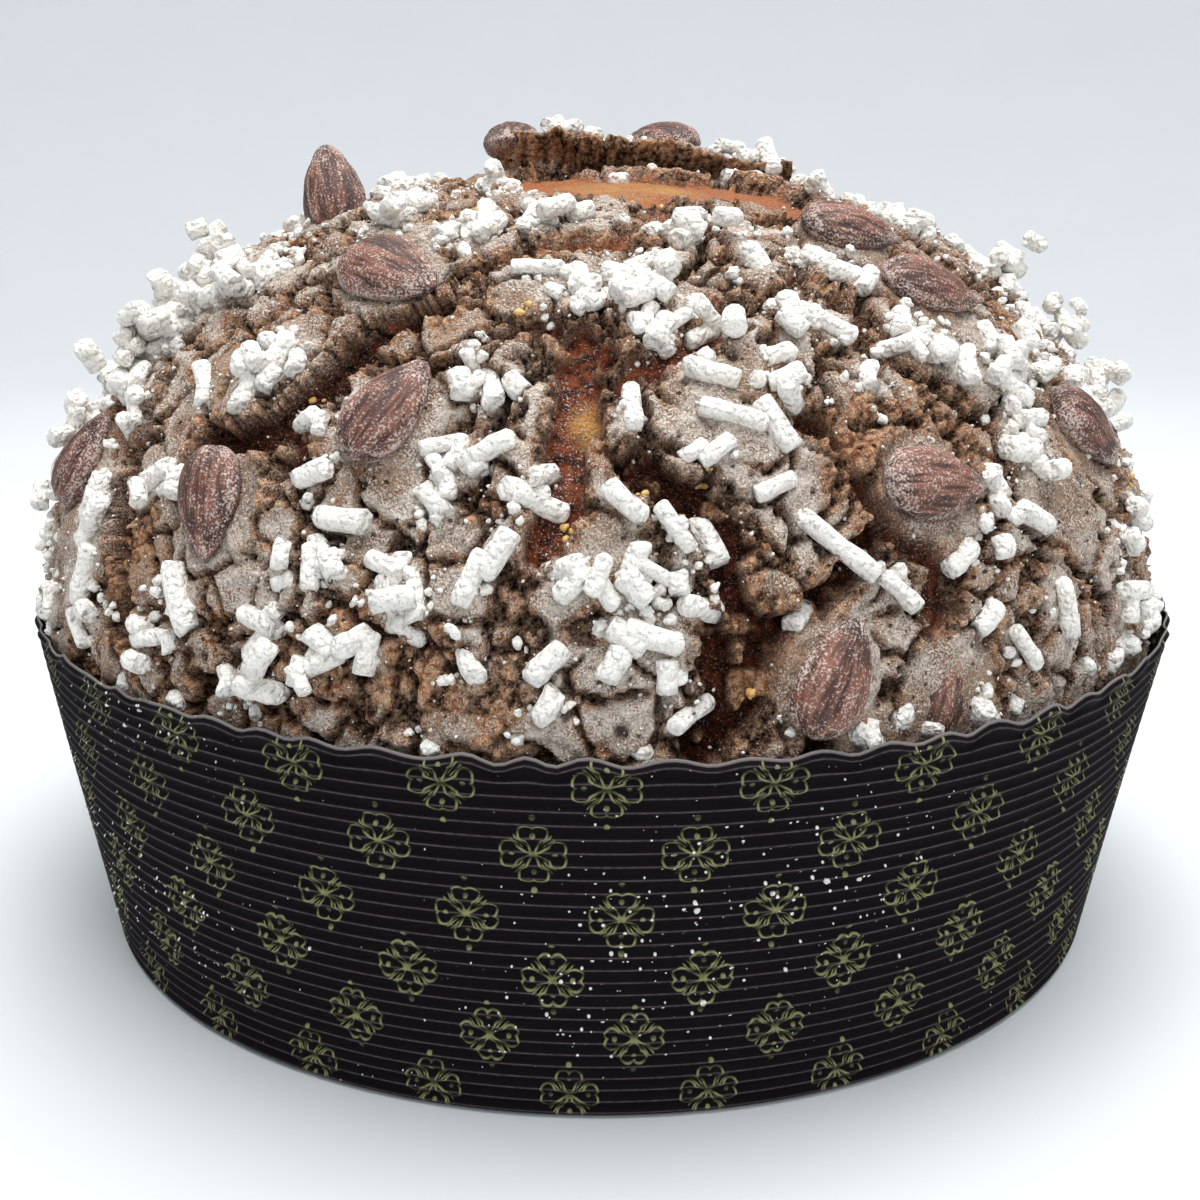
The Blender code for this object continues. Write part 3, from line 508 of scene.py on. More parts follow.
def crust_relief(points):
    """Height of the crust over the smooth dome at its points: plates, grooves and fissures."""
    gap, depth = fissure_field(points)
    inside, lift = plate_field(points)
    forms, grooved = soft_forms(points, gap)
    groove = GROOVE_MM * grooved * (1.0 - smooth_step(0.2, GROOVE_HALF_MM, inside))
    seat = seat_field(points)
    plate = (lift + forms - groove) * (1.0 - seat)
    bread = -depth + BREAD_WAVE_MM * value_noise(points, 6.0, 64)
    wall = np.maximum(smooth_step(-EDGE_MM, EDGE_MM, gap), seat)
    return bread + (plate - bread) * wall + flap_lift(points)


def surface(ways):
    """Points of the crust along unit vectors from the dome's centre."""
    points = dome_points(ways)
    return points + ways * crust_relief(points)[:, None]


def ways_to(points):
    """Unit vectors from the dome's centre to points."""
    away = points - np.array([0.0, 0.0, DOME_CENTRE_MM])
    return away / np.linalg.norm(away, axis=1)[:, None]


def lying(turn, climb, lie):
    """(middle, along, normal) on the smooth dome: the tangent that leans lie degrees up from level."""
    way = direction(turn, climb)[None, :]
    normal = dome_normals(way)[0]
    level = np.array([math.cos(math.radians(turn)), math.sin(math.radians(turn)), 0.0])
    upward = np.cross(normal, level)
    along = math.cos(math.radians(lie)) * level + math.sin(math.radians(lie)) * upward
    return dome_points(way)[0], along, normal


def sugar_groups():
    """(turn, climb, lie or None, length or pieces): the rods and clusters in front, then more round the rest
    of the dome from a golden-angle spiral, each clear of those before it, then the heaps."""
    groups = [(turn, climb, lie, length) for turn, climb, lie, length in LONE_RODS]
    groups += [(turn, climb, None, pieces) for turn, climb, pieces in CLUSTERS]
    taken = [lying(turn, climb, 0.0)[0] for turn, climb, _, _ in groups]
    rng = np.random.default_rng(SEED + 3)
    for k in range(BACK_GROUPS):
        climb = math.degrees(math.asin(1.0 - 0.93 * (k + 0.5) / BACK_GROUPS))
        turn = math.degrees(k * GOLDEN_ANGLE) + rng.uniform(-4.0, 4.0)
        alone = rng.random() < BACK_ALONE_SHARE
        lie, length, pieces = rng.uniform(-90.0, 90.0), rng.uniform(*BACK_ROD_MM), int(rng.integers(3, 7))
        turn = (turn + 180.0) % 360.0 - 180.0
        middle = lying(turn, climb, 0.0)[0]
        in_view = abs(turn) < IN_VIEW_DEGREES and climb < IN_VIEW_DEGREES
        if in_view or min(np.linalg.norm(middle - other) for other in taken) < BACK_SPACING_MM:
            continue
        taken.append(middle)
        groups.append((turn, climb, lie, length) if alone else (turn, climb, None, pieces))
    groups += [(turn, climb, None, pieces) for turn, climb, pieces in HEAPS]
    return groups


def sugar_pieces():
    """Every piece of sugar as (middle, along, normal, length, radius, stacked). A group's largest piece comes
    first; a cluster's later pieces lie on its first ones, and a heap is layer on layer."""
    rng = np.random.default_rng(SEED + 4)
    pieces = []
    for turn, climb, lie, amount in sugar_groups():
        if lie is not None:
            middle, along, normal = lying(turn, climb, lie)
            pieces.append((middle, along, normal, amount, ROD_RADIUS_MM * rng.uniform(0.9, 1.08), 0.0))
            continue
        lengths = sorted(rng.uniform(*CLUSTER_ROD_MM, amount), reverse=True)
        layered = (turn, climb, amount) in HEAPS
        for order, length in enumerate(lengths):
            layer, rank = divmod(order, HEAP_LAYER) if layered else (0, order)
            middle, along, normal = lying(turn, climb, rng.uniform(-90.0, 90.0))
            aside = np.cross(normal, along)
            spread = CLUSTER_SPREAD_MM * math.sqrt(rank / 3.0)
            angle = order * 2.4 + rng.uniform(-0.5, 0.5)
            middle = middle + spread * (math.cos(angle) * along + math.sin(angle) * aside)
            stacked = rng.uniform(0.0, 0.9) if order % 3 == 2 else 0.0
            stacked += HEAP_RISE * layer
            pieces.append((middle, along, normal, length, ROD_RADIUS_MM * rng.uniform(0.82, 1.1), stacked))
    return pieces


def run_distance(points, first, last):
    """How far each point is from the straight run between two ends."""
    along = last - first
    share = np.clip((points - first) @ along / (along @ along), 0.0, 1.0)
    return np.linalg.norm(points - first - share[:, None] * along, axis=1)


def almond_axes(turn, climb, lie, tip, raised):
    """(middle, along, normal) of an almond: its long side along the dome, or tipped up out of it, and its
    thickness square to that."""
    middle, along, normal = lying(turn, climb, lie)
    tilt = math.radians(tip)
    flat_way, up_way = math.cos(tilt), math.sin(tilt)
    return middle + normal * raised, flat_way * along + up_way * normal, flat_way * normal - up_way * along


def almond_gap(points):
    """How far each point is from the nearest almond's middle line."""
    reach = np.full(len(points), 1e3)
    for *place, size in almond_places():
        middle, along, _ = almond_axes(*place)
        half = along * size * (ALMOND_MM[0] - ALMOND_MM[1]) / 2.0
        reach = np.minimum(reach, run_distance(points, middle - half, middle + half))
    return reach


def settled_sugar():
    """The sugar pieces laid on the crust, as (first ends, last ends, radii), clear of the almonds."""
    pieces = sugar_pieces()
    middles = np.array([piece[0] for piece in pieces])
    radii = np.array([piece[4] for piece in pieces])
    halves = np.array([piece[1] * (piece[3] / 2.0 - piece[4] * 0.5) for piece in pieces])
    rises = np.array([piece[4] * (ROD_RISE + piece[5] * STACK_RISE) for piece in pieces])
    normals = np.array([piece[2] for piece in pieces])
    first = surface(ways_to(middles - halves)) + normals * rises[:, None]
    last = surface(ways_to(middles + halves)) + normals * rises[:, None]
    spans = [first + (last - first) * share for share in (-0.15, 0.25, 0.5, 0.75, 1.15)]
    clear = np.min([almond_gap(span) for span in spans], axis=0) > ALMOND_MM[1] / 2.0 + radii + 0.5
    gap, _ = fissure_field(middles)
    clear &= gap > -2.0
    clear &= np.minimum(first[:, 2], last[:, 2]) > MOULD_HEIGHT_MM + 3.0
    return first[clear], last[clear], radii[clear]


def mould_sway(turn):
    """How far the rim leans out of round at a turn in radians."""
    return RIM_SWAY_MM * (np.sin(2.0 * turn + 0.6) + 0.5 * np.sin(3.0 * turn - 1.0))


def held_in(points):
    """Draws points in where they would reach the mould's wall, which holds the loaf up to the rim."""
    turn = np.arctan2(points[:, 0], -points[:, 1])
    share = np.clip(points[:, 2] / MOULD_HEIGHT_MM, 0.0, 1.0)
    wall = BASE_RADIUS_MM - PAPER_MM + LEAN * MOULD_HEIGHT_MM * share + mould_sway(turn) * share ** 2
    over = np.maximum(points[:, 2] - MOULD_HEIGHT_MM - 1.0, 0.0)
    radius = np.maximum(np.hypot(points[:, 0], points[:, 1]), 1e-6)
    points[:, :2] *= np.minimum(1.0, (wall - WALL_GAP_MM + over) / radius)[:, None]
    return points


def crust_look(points, sizes, sugar_near=None):
    """(height, mask, gold) of the finished crust at the dome's points. The height is the plain relief's, with
    crisper broken edges, crumbs, hair cracks and pores. The mask's four parts run from 0 to 1: glaze, bare
    crumb, painted shade in the hollows and sugar dust. Gold runs from 0 to 1 too, where stretched bread is
    golden."""
    gap, depth = fissure_field(points)
    inside, lift = plate_field(points)
    forms, grooved = soft_forms(points, gap)
    free = 1.0 - seat_field(points)
    coarse, _, _ = nearest_two(points, COARSE_CRUMB_MM, 71)
    fine, _, _ = nearest_two(points, FINE_CRUMB_MM, 72)
    crumbs = 0.9 * (0.6 - coarse) + 0.6 * (0.6 - fine)
    wander = value_noise(points, 3.4, 73)

    # Borders of the fissures, which crumbs narrow where the bread lies deep, and of the plates
    calm = smooth_step(3.3, 3.05, depth)
    narrower = smooth_step(4.0, 3.5, depth) * (1.0 - calm)
    narrower = narrower * (NARROWER_MM + 1.8 * value_noise(points, 9.0, 88))
    fray = gap + 1.3 * wander + 1.5 * crumbs + narrower - 0.5 * smooth_step(3.9, 4.3, depth)
    border = inside + 0.6 * wander + 0.8 * crumbs
    grooved = grooved * free
    groove = grooved * smooth_step(1.3, 0.2, border)

    # Hair cracks part the plates into steps, and pores stand in the glaze
    first, second, pick = nearest_two(drift(points, 5.0, 2.2, 83), CRACK_CELL_MM, 84)
    beside = (second - first) * CRACK_CELL_MM / 2.0
    split = smooth_step(-0.6, -0.15, value_noise(points, 18.0, 86)) * free
    crack = split * smooth_step(0.75, 0.2, beside + 0.5 * crumbs)
    step = 0.9 * (pick - 0.5) * split
    pits = np.maximum(cell_pits(points, 4.6, 81, 0.4), cell_pits(points, 2.9, 82, 0.35))
    pore = sizes.pores / MM * smooth_step(0.0, 0.4, pits) * free

    # The face of the flap, where the broken edge shows under the glaze
    lifted = flap_lift(points) / FLAP_LIFT_MM
    face = smooth_step(0.02, 0.12, lifted) * (points[:, 1] < FLAP_FRONT_MM + 2.0 + 0.8 * wander)

    # The glaze has come away along the fissures, grooves and cracks, and in worn patches
    worn = value_noise(points, 15.0, 74) + 0.5 * value_noise(points, 5.0, 75)
    rim = np.maximum(bell(np.maximum(fray, 0.0), 2.6), 0.9 * grooved * bell(border, 1.7))
    rim = np.maximum(rim, smooth_step(0.2, 0.7, worn))
    rim = np.maximum(rim, 0.72 * split * bell(beside, 1.1))
    bare = np.maximum(free * smooth_step(0.42, 0.62, rim + 0.35 * crumbs + 0.15 * wander), face)
    grit = 0.4 * value_noise(points, 1.2, 77) + 0.36 * value_noise(points, 2.6, 76)
    crag = sizes.crumb / MM * crumbs * 2.0
    cut = GROOVE_MM * 1.2 * groove + 1.5 * crack + pore + bare * (0.5 - crag)
    plate = (lift + forms + step) * free + grit - cut

    # Bread in the fissures: strands, with islands of crumb that broke off the plates' edges
    strand = 0.7 * value_noise(points * np.array([1.0, 1.0, 0.45]), 2.2, 78)
    rubble = 0.3 + smooth_step(3.1, 4.0, depth)
    island = smooth_step(0.42, 0.62, value_noise(points, 4.2, 87) + 0.4 * crumbs) * (1.0 - calm)
    bread = -depth + BREAD_WAVE_MM * value_noise(points, 6.0, 64) + (1.0 - 0.7 * calm) * strand
    bread = bread + rubble * crumbs + island * (1.6 + 1.2 * crumbs)
    wall = np.maximum(smooth_step(-0.35, 0.35, fray), 1.0 - free)
    height = bread + (plate - bread) * wall + flap_lift(points)

    # Shadowed hollows: deep cuts, the bread of deep fissures, nooks between crumbs and the foot of the flap
    sunk = 0.9 * smooth_step(3.5, 4.4, depth) * (1.0 - wall) * (1.0 - 0.7 * island)
    nooks = smooth_step(0.5, 0.7, coarse) + 0.3 * smooth_step(0.5, 0.7, fine)
    nooks = np.clip(nooks, 0.0, 0.95) * bare * wall
    under = 0.9 * face * smooth_step(0.75, 0.2, lifted) * smooth_step(-12.0, 8.0, points[:, 0])
    painted_shade = np.max([smooth_step(0.6, 1.5, cut) * wall, sunk, nooks, under], axis=0)

    # Dust lies in drifts and round the sugar, less of it on broken edges and in the fissures
    dust = 0.68 + 0.42 * value_noise(points, 13.0, 79) + 0.38 * value_noise(points, 4.0, 80)
    if sugar_near is not None:
        dust = dust + 0.7 * bell(sugar_near, 3.4)
    dust = dust * (1.0 - 0.4 * bare) * (0.3 + 0.7 * wall) * (1.0 - 0.8 * face)
    golden = np.zeros(len(points))
    for turn, climb, reach in GOLDEN:
        away = np.linalg.norm(points - dome_points(direction(turn, climb)[None]), axis=1)
        golden = np.maximum(golden, bell(away, reach))
    shown = np.maximum(wall, 0.9 * island)
    mask = np.stack([shown, np.where(wall > 0.5, bare, island), painted_shade, dust], axis=1)
    return height, np.clip(mask, 0.0, 1.0), golden


def disc_grid(side):
    """Turns and climbs in degrees on a square grid: its nested squares become rings, from the crown in the
    middle to the lowest climb on the border, and a place along a square's side becomes the turn."""
    line = np.linspace(-1.0, 1.0, side)
    x, y = np.meshgrid(line, line, indexing="ij")
    ring = np.maximum(np.abs(x), np.abs(y))
    wide = np.abs(x) >= np.abs(y)
    safe_x = np.where(np.abs(x) < 1e-12, 1.0, x)
    safe_y = np.where(np.abs(y) < 1e-12, 1.0, y)
    turn = np.where(wide, 45.0 * y / safe_x, 90.0 - 45.0 * x / safe_y)
    turn = turn + np.where(np.where(wide, x < 0.0, y < 0.0), 180.0, 0.0)
    return turn, 90.0 - ring * (90.0 - LOWEST_CLIMB)


def grid_quads(rows, columns):
    """Four-sided faces of a grid of points kept row by row."""
    first = (np.arange(rows - 1)[:, None] * columns + np.arange(columns - 1)).reshape(-1, 1)
    return first + [0, 1, columns + 1, columns]


def tube_faces(rings, sides):
    """(faces, columns) of a tube: rings of points, kept ring by ring, with one more point at each end, where
    a fan of triangles closes it. Columns has the place round the tube of every corner of the faces: the last
    face of a ring ends at sides, not at 0, so that a UV map can run on to its seam."""
    here = np.arange(sides)[:, None]
    after = (here + 1) % sides
    ring = np.arange(rings - 1)[:, None, None] * sides
    quads = ring + np.hstack([here, after, after + sides, here + sides])
    tail = (rings - 1) * sides
    tip = np.full_like(here, rings * sides)
    start, end = np.hstack([tip, after, here]), np.hstack([tail + here, tail + after, tip + 1])
    zero = np.zeros_like(here)
    wide = np.tile(np.hstack([here, here + 1, here + 1, here]), (rings - 1, 1))
    columns = [wide, np.hstack([zero, here + 1, here]), np.hstack([here, here + 1, zero])]
    return [quads.reshape(-1, 4), start, end], columns


def in_a_row(parts):
    """All numbers of several arrays, one after another."""
    return np.concatenate([part.ravel() for part in parts])


def new_object(name, points, faces, material):
    """A smooth-shaded mesh object. Points are in millimetres, and faces is a list of whole-number arrays,
    each with faces of one number of corners."""
    mesh = bpy.data.meshes.new(name)
    sizes = np.concatenate([np.full(len(part), part.shape[1]) for part in faces])
    corners = in_a_row(faces).astype(np.int32)
    mesh.vertices.add(len(points))
    mesh.vertices.foreach_set("co", (np.asarray(points, float) * MM).astype(np.float32).ravel())
    mesh.loops.add(len(corners))
    mesh.loops.foreach_set("vertex_index", corners)
    mesh.polygons.add(len(sizes))
    mesh.polygons.foreach_set("loop_start", (np.cumsum(sizes) - sizes).astype(np.int32))
    mesh.update(calc_edges=True)
    mesh.shade_smooth()
    mesh.materials.append(material)
    item = bpy.data.objects.new(name, mesh)
    bpy.context.scene.collection.objects.link(item)
    return item


def new_piece(name, points, faces, material):
    """A mesh object that rides on the part's one body."""
    piece = new_object(name, points, faces, material)
    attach(piece, "root")
    return piece


def corner_uv(piece, values):
    """Gives a piece a UV map from one (u, v) pair for each face corner."""
    layer = piece.data.uv_layers.new(name="UVMap")
    layer.data.foreach_set("uv", np.asarray(values, np.float32).ravel())


def point_colour(piece, name, values):
    """Stores four numbers for each point as a colour attribute."""
    attribute = piece.data.attributes.new(name, "FLOAT_COLOR", "POINT")
    attribute.data.foreach_set("color", np.asarray(values, np.float32).ravel())


def point_number(piece, name, values):
    """Stores one number for each point as an attribute."""
    attribute = piece.data.attributes.new(name, "FLOAT", "POINT")
    attribute.data.foreach_set("value", np.asarray(values, np.float32))


def set_inputs(node, inputs):
    """Sets a node's inputs, given in order or by name or number. Each is a value, another node's socket, or
    another node, whose first output in use is meant."""
    for key, value in inputs.items() if isinstance(inputs, dict) else enumerate(inputs):
        if isinstance(value, bpy.types.Node):
            value = next(output for output in value.outputs if output.enabled)
        if isinstance(value, bpy.types.NodeSocket):
            node.id_data.links.new(value, node.inputs[key])
        else:
            node.inputs[key].default_value = value


def add_node(tree, kind, inputs=(), **settings):
    """Adds one node, with its settings and its inputs."""
    node = tree.nodes.new("ShaderNode" + kind)
    for name, value in settings.items():
        setattr(node, name, value)
    set_inputs(node, inputs)
    return node


def new_material(name):
    """(material, function that adds a node to it, its Principled shader) of a new material."""
    material = bpy.data.materials.new(name)
    material.use_nodes = True
    tree = material.node_tree
    return material, partial(add_node, tree), tree.nodes["Principled BSDF"]


def blend(add, value, low, high, first, second, most=1.0):
    """The first colour, which turns into the second by up to most while a value rises from low to high."""
    share = add("MapRange", (value, low, high, 0.0, most))
    return add("Mix", {0: share, 6: first, 7: second}, data_type="RGBA")


def coat(add, shader, colour, roughness, height=None, strength=1.0, depth=MM):
    """Gives a shader its colour and roughness, and relief of that depth where there is a height."""
    set_inputs(shader, {"Base Color": colour, "Roughness": roughness})
    if height is not None:
        bump = add("Bump", {"Strength": strength, "Distance": depth, "Height": height})
        set_inputs(shader, {"Normal": bump})


def crust_material(colours):
    """Baked almond glaze: ground almonds and egg white, dried to a matte, sandy shell that breaks into
    plates. Its broken edges are toasted crumb, and the bread in its fissures is brown and slightly glossy.
    Painted shade darkens its cracks, pores, deep fissures and the nooks between crumbs."""
    material, add, shader = new_material("Baked almond glaze")
    place = add("TexCoord").outputs["Object"]
    mask = add("Attribute", attribute_name="crust")
    glaze, crumb, painted_shade = add("SeparateColor", (mask,)).outputs
    dust = mask.outputs["Alpha"]

    # Sandy mottling under 1 mm, in cloudy patches 6 mm wide
    cloud = add("TexNoise", {"Vector": place, "Scale": 1.0 / (6.0 * MM), "Detail": 3.0})
    sand = add("TexNoise", {"Vector": place, "Scale": 1.0 / (0.55 * MM), "Detail": 2.0})
    sandy = add("Math", (cloud, sand), operation="ADD")
    glaze_colour = blend(add, sandy, 0.8, 1.15, colours.glaze_dark, colours.glaze)

    # Toasted crumb, in grains of about 1 mm
    grains = add("TexNoise", {"Vector": place, "Scale": 1.0 / MM, "Detail": 4.0, "Roughness": 0.65})
    crumb_colour = blend(add, grains, 0.42, 0.58, colours.crumb_dark, colours.crumb)

    # Bread: red-brown with darker flecks under 2 mm, paler at the crown, golden where it stretched most
    fleck = add("TexNoise", {"Vector": place, "Scale": 1.0 / (1.7 * MM), "Detail": 3.0})
    bread = blend(add, fleck, 0.4, 0.56, colours.bread_dark, colours.bread)
    upper = add("SeparateXYZ", (place,)).outputs[2]
    bread = blend(add, upper, 128.0 * MM, 143.0 * MM, bread, colours.bread_top, 0.85)
    gold = add("Attribute", attribute_name="gold").outputs["Fac"]
    golden = add("Math", (gold, cloud), operation="MULTIPLY")
    bread = blend(add, golden, 0.2, 0.55, bread, colours.bread_gold)
    bared = add("Mix", {0: crumb, 6: glaze_colour, 7: crumb_colour}, data_type="RGBA")
    covered = add("Mix", {0: glaze, 6: bread, 7: bared}, data_type="RGBA")

    # Pinholes about 0.5 mm wide, in half of the 2 mm cells, and the deep hollows, darkened with painted shade
    holes = add("TexVoronoi", {"Vector": place, "Scale": 1.0 / (2.0 * MM)})
    chance = add("SeparateColor", (holes.outputs["Color"],)).outputs[0]
    hole_size = add("MapRange", (chance, 0.4, 1.0, 0.0, 0.27))
    hole = add("Math", (hole_size, holes), operation="SUBTRACT")
    hole = add("MapRange", (hole, 0.0, 0.08, 0.0, 0.85))
    pinhole = add("Math", (hole, glaze), operation="MULTIPLY")
    shadowy = add("MapRange", (grains, 0.38, 0.6, 1.0, 0.72))
    shade = add("Math", (painted_shade, shadowy), operation="MULTIPLY")
    deep = add("Math", (shade, pinhole), operation="MAXIMUM")
    with_painted_shade = add("Mix", {0: deep, 6: covered, 7: colours.painted_shade}, data_type="RGBA")

    # Fine sugar: grains of 0.2 to 0.4 mm, closer together where the dust lies thick, and white powder there
    fine = add("TexNoise", {"Vector": place, "Scale": 1.0 / (0.34 * MM), "Detail": 1.0, "Roughness": 0.6})
    speck = add("Math", (dust, 0.23, fine), operation="MULTIPLY_ADD")
    speck = add("MapRange", (speck, 0.62, 0.72, 0.0, 0.85))
    powder = add("TexNoise", {"Vector": place, "Scale": 1.0 / (1.6 * MM), "Detail": 4.0})
    powder = add("Math", (powder, dust), operation="MULTIPLY")
    powder = add("MapRange", (powder, 0.4, 0.62, 0.0, 0.85))
    white = add("Math", (speck, powder), operation="MAXIMUM")
    open_part = add("Math", (1.0, deep), operation="SUBTRACT")
    settled = add("Math", (white, open_part), operation="MULTIPLY")
    dusted = add("Mix", {0: settled, 6: with_painted_shade, 7: colours.dust}, data_type="RGBA")

    # Relief: sandy grains over the crumb's, with the sugar standing on them and the pinholes sunk
    height = add("Math", (sand, grains), operation="ADD")
    height = add("Math", (settled, 0.6, height), operation="MULTIPLY_ADD")
    height = add("Math", (pinhole, -1.2, height), operation="MULTIPLY_ADD")
    matte = add("Math", (glaze, painted_shade), operation="MAXIMUM")
    roughness = add("MapRange", (matte, 0.0, 1.0, 0.42, 0.92))
    set_inputs(shader, {"Specular IOR Level": add("MapRange", (matte, 0.0, 1.0, 0.3, 0.05))})
    coat(add, shader, dusted, roughness, height, 1.0, 1.3 * MM)
    return material


def sugar_material(colours):
    """Pearl sugar: pressed white sugar, chalky and dry, with powdery nodules that scatter light evenly."""
    material, add, shader = new_material("Pearl sugar")
    place = add("TexCoord").outputs["Object"]
    warm = add("TexNoise", {"Vector": place, "Scale": 1.0 / (5.0 * MM), "Detail": 3.0})
    colour = blend(add, warm, 0.5, 0.75, colours.sugar, colours.sugar_warm, 0.35)
    nodules = {"Vector": place, "Scale": 1.0 / (1.1 * MM), "Smoothness": 0.5}
    nodules = add("TexVoronoi", nodules, feature="SMOOTH_F1")
    chalk = add("TexNoise", {"Vector": place, "Scale": 1.0 / (0.7 * MM), "Detail": 4.0})
    height = add("Math", (nodules, -1.0, chalk), operation="MULTIPLY_ADD")
    coat(add, shader, colour, 0.92, height, 1.0, 1.1 * MM)
    return material


def almond_material(colours):
    """Whole roasted almond in its skin: dull red-brown, furrowed lengthwise, with painted shade in its
    furrows and sugar on its ridges.
    """
    material, add, shader = new_material("Roasted almond skin")
    place = add("TexCoord")
    # The UV map runs round the almond and along it, both in metres, so furrows are 7 times longer than wide
    scale = (1.0 / (0.6 * MM), 1.0 / (4.2 * MM), 1.0)
    stretched = add("Mapping", {"Vector": place.outputs["UV"], "Scale": scale})
    furrow = add("TexNoise", {"Vector": stretched, "Scale": 1.0, "Detail": 4.0})
    edge, ridge, _ = add("SeparateColor", (add("Attribute", attribute_name="skin"),)).outputs
    # Painted shade: the skin darkens where its furrows sink
    shade = add("Math", (ridge, 0.5, furrow), operation="MULTIPLY_ADD")
    shade = add("MapRange", (shade, 0.6, 0.92))
    skin = add("Mix", {0: shade, 6: colours.almond_furrow_shade, 7: colours.almond}, data_type="RGBA")

    # Dust: grains of 0.2 to 0.4 mm all over, closer on the ridges, along the almond's edge and in drifts
    place = place.outputs["Object"]
    dust = add("TexNoise", {"Vector": place, "Scale": 1.0 / (0.4 * MM), "Detail": 2.0, "Roughness": 0.6})
    drifts = add("TexNoise", {"Vector": place, "Scale": 1.0 / (4.0 * MM), "Detail": 3.0})
    for catch, share in ((edge, 0.1), (shade, 0.09), (drifts, 0.22)):
        dust = add("Math", (catch, share, dust), operation="MULTIPLY_ADD")
    dust = add("MapRange", (dust, 0.7, 0.86, 0.0, 0.75))
    dusted = add("Mix", {0: dust, 6: skin, 7: colours.almond_dust}, data_type="RGBA")
    height = add("Math", (dust, 0.4, furrow), operation="MULTIPLY_ADD")
    coat(add, shader, dusted, 0.62, height, 0.9, 0.4 * MM)
    return material


def rosette_mask(add, across, upward, width):
    """The print of one rosette round its middle: across and upward are millimetres from there. Folding both
    to one side of every petal leaves half a petal to draw: a round lobe joined to a wedge, as an outline."""
    a = add("Math", (across,), operation="ABSOLUTE")
    b = add("Math", (upward,), operation="ABSOLUTE")
    far = add("Math", (a, b), operation="MAXIMUM")
    near = add("Math", (a, b), operation="MINIMUM")
    spot = add("CombineXYZ", (far, near))
    unit = width / 10.2

    # Lobe: a ring round a point off the petal's middle line, so two of them meet in the heart's notch
    lobe = add("VectorMath", (spot, (3.6 * unit, 0.95 * unit, 0.0)), operation="DISTANCE")
    lobe = add("Math", (lobe, 1.25 * unit), operation="SUBTRACT")

    # Wedge: from the rosette's middle out to the lobe
    side = add("Math", (far, -0.52, near), operation="MULTIPLY_ADD")
    end = add("Math", (far, 3.5 * unit), operation="SUBTRACT")
    wedge = add("Math", (side, end), operation="MAXIMUM")
    petal = add("Math", (lobe, wedge), operation="MINIMUM")
    rim = add("Math", (petal,), operation="ABSOLUTE")
    outline = add("MapRange", (rim, 0.24 * unit, 0.1 * unit))

    # Mark inside each petal, and the knot in the middle
    mark = add("VectorMath", (spot, (3.2 * unit, 0.0, 0.0)), operation="DISTANCE")
    mark = add("MapRange", (mark, 0.5 * unit, 0.3 * unit))
    knot = add("MapRange", (far, 0.75 * unit, 0.45 * unit))

    # Whiskers: a pair of thin lines along each diagonal
    reach = add("Math", (far, near), operation="ADD")
    opening = add("Math", (reach, 0.07, 0.12 * unit), operation="MULTIPLY_ADD")
    off = add("Math", (far, near), operation="SUBTRACT")
    off = add("Math", (off, opening), operation="SUBTRACT")
    off = add("Math", (off,), operation="ABSOLUTE")
    whisker = add("MapRange", (off, 0.2 * unit, 0.08 * unit))
    for start, full in ((6.3 * unit, 5.9 * unit), (2.6 * unit, 3.2 * unit)):
        whisker = add("Math", (whisker, add("MapRange", (reach, start, full))), operation="MULTIPLY")

    drawn = outline
    for part in (mark, knot, whisker):
        drawn = add("Math", (drawn, part), operation="MAXIMUM")
    return drawn


def lattice_place(add, across, upward, sizes, lift):
    """(across, upward) in millimetres from the nearest middle of the staggered rows, moved up by lift. A
    row's number is its drop from the top row over the row rise; odd rows move along by half a column."""
    rise = sizes.rosette_rise / MM
    column = math.tau * MEAN_RADIUS_MM / sizes.rosette_columns
    shift = math.radians(ROW_SHIFT_TURN) * MEAN_RADIUS_MM
    start = math.radians(FIRST_COLUMN_TURN) * MEAN_RADIUS_MM
    drop = add("Math", (upward, -1.0 / rise, (ROW_TOP_MM + lift) / rise), operation="MULTIPLY_ADD")
    row = add("Math", (drop,), operation="ROUND")
    off = add("Math", (row, drop), operation="SUBTRACT")
    along = add("Math", (row, column / 2.0 - shift, -start), operation="MULTIPLY_ADD")
    along = add("Math", (across, along), operation="ADD")
    count = add("Math", (along, 1.0 / column), operation="MULTIPLY")
    whole = add("Math", (count,), operation="ROUND")
    part = add("Math", (count, whole), operation="SUBTRACT")
    return add("Math", (part, column), operation="MULTIPLY"), add("Math", (off, rise), operation="MULTIPLY")


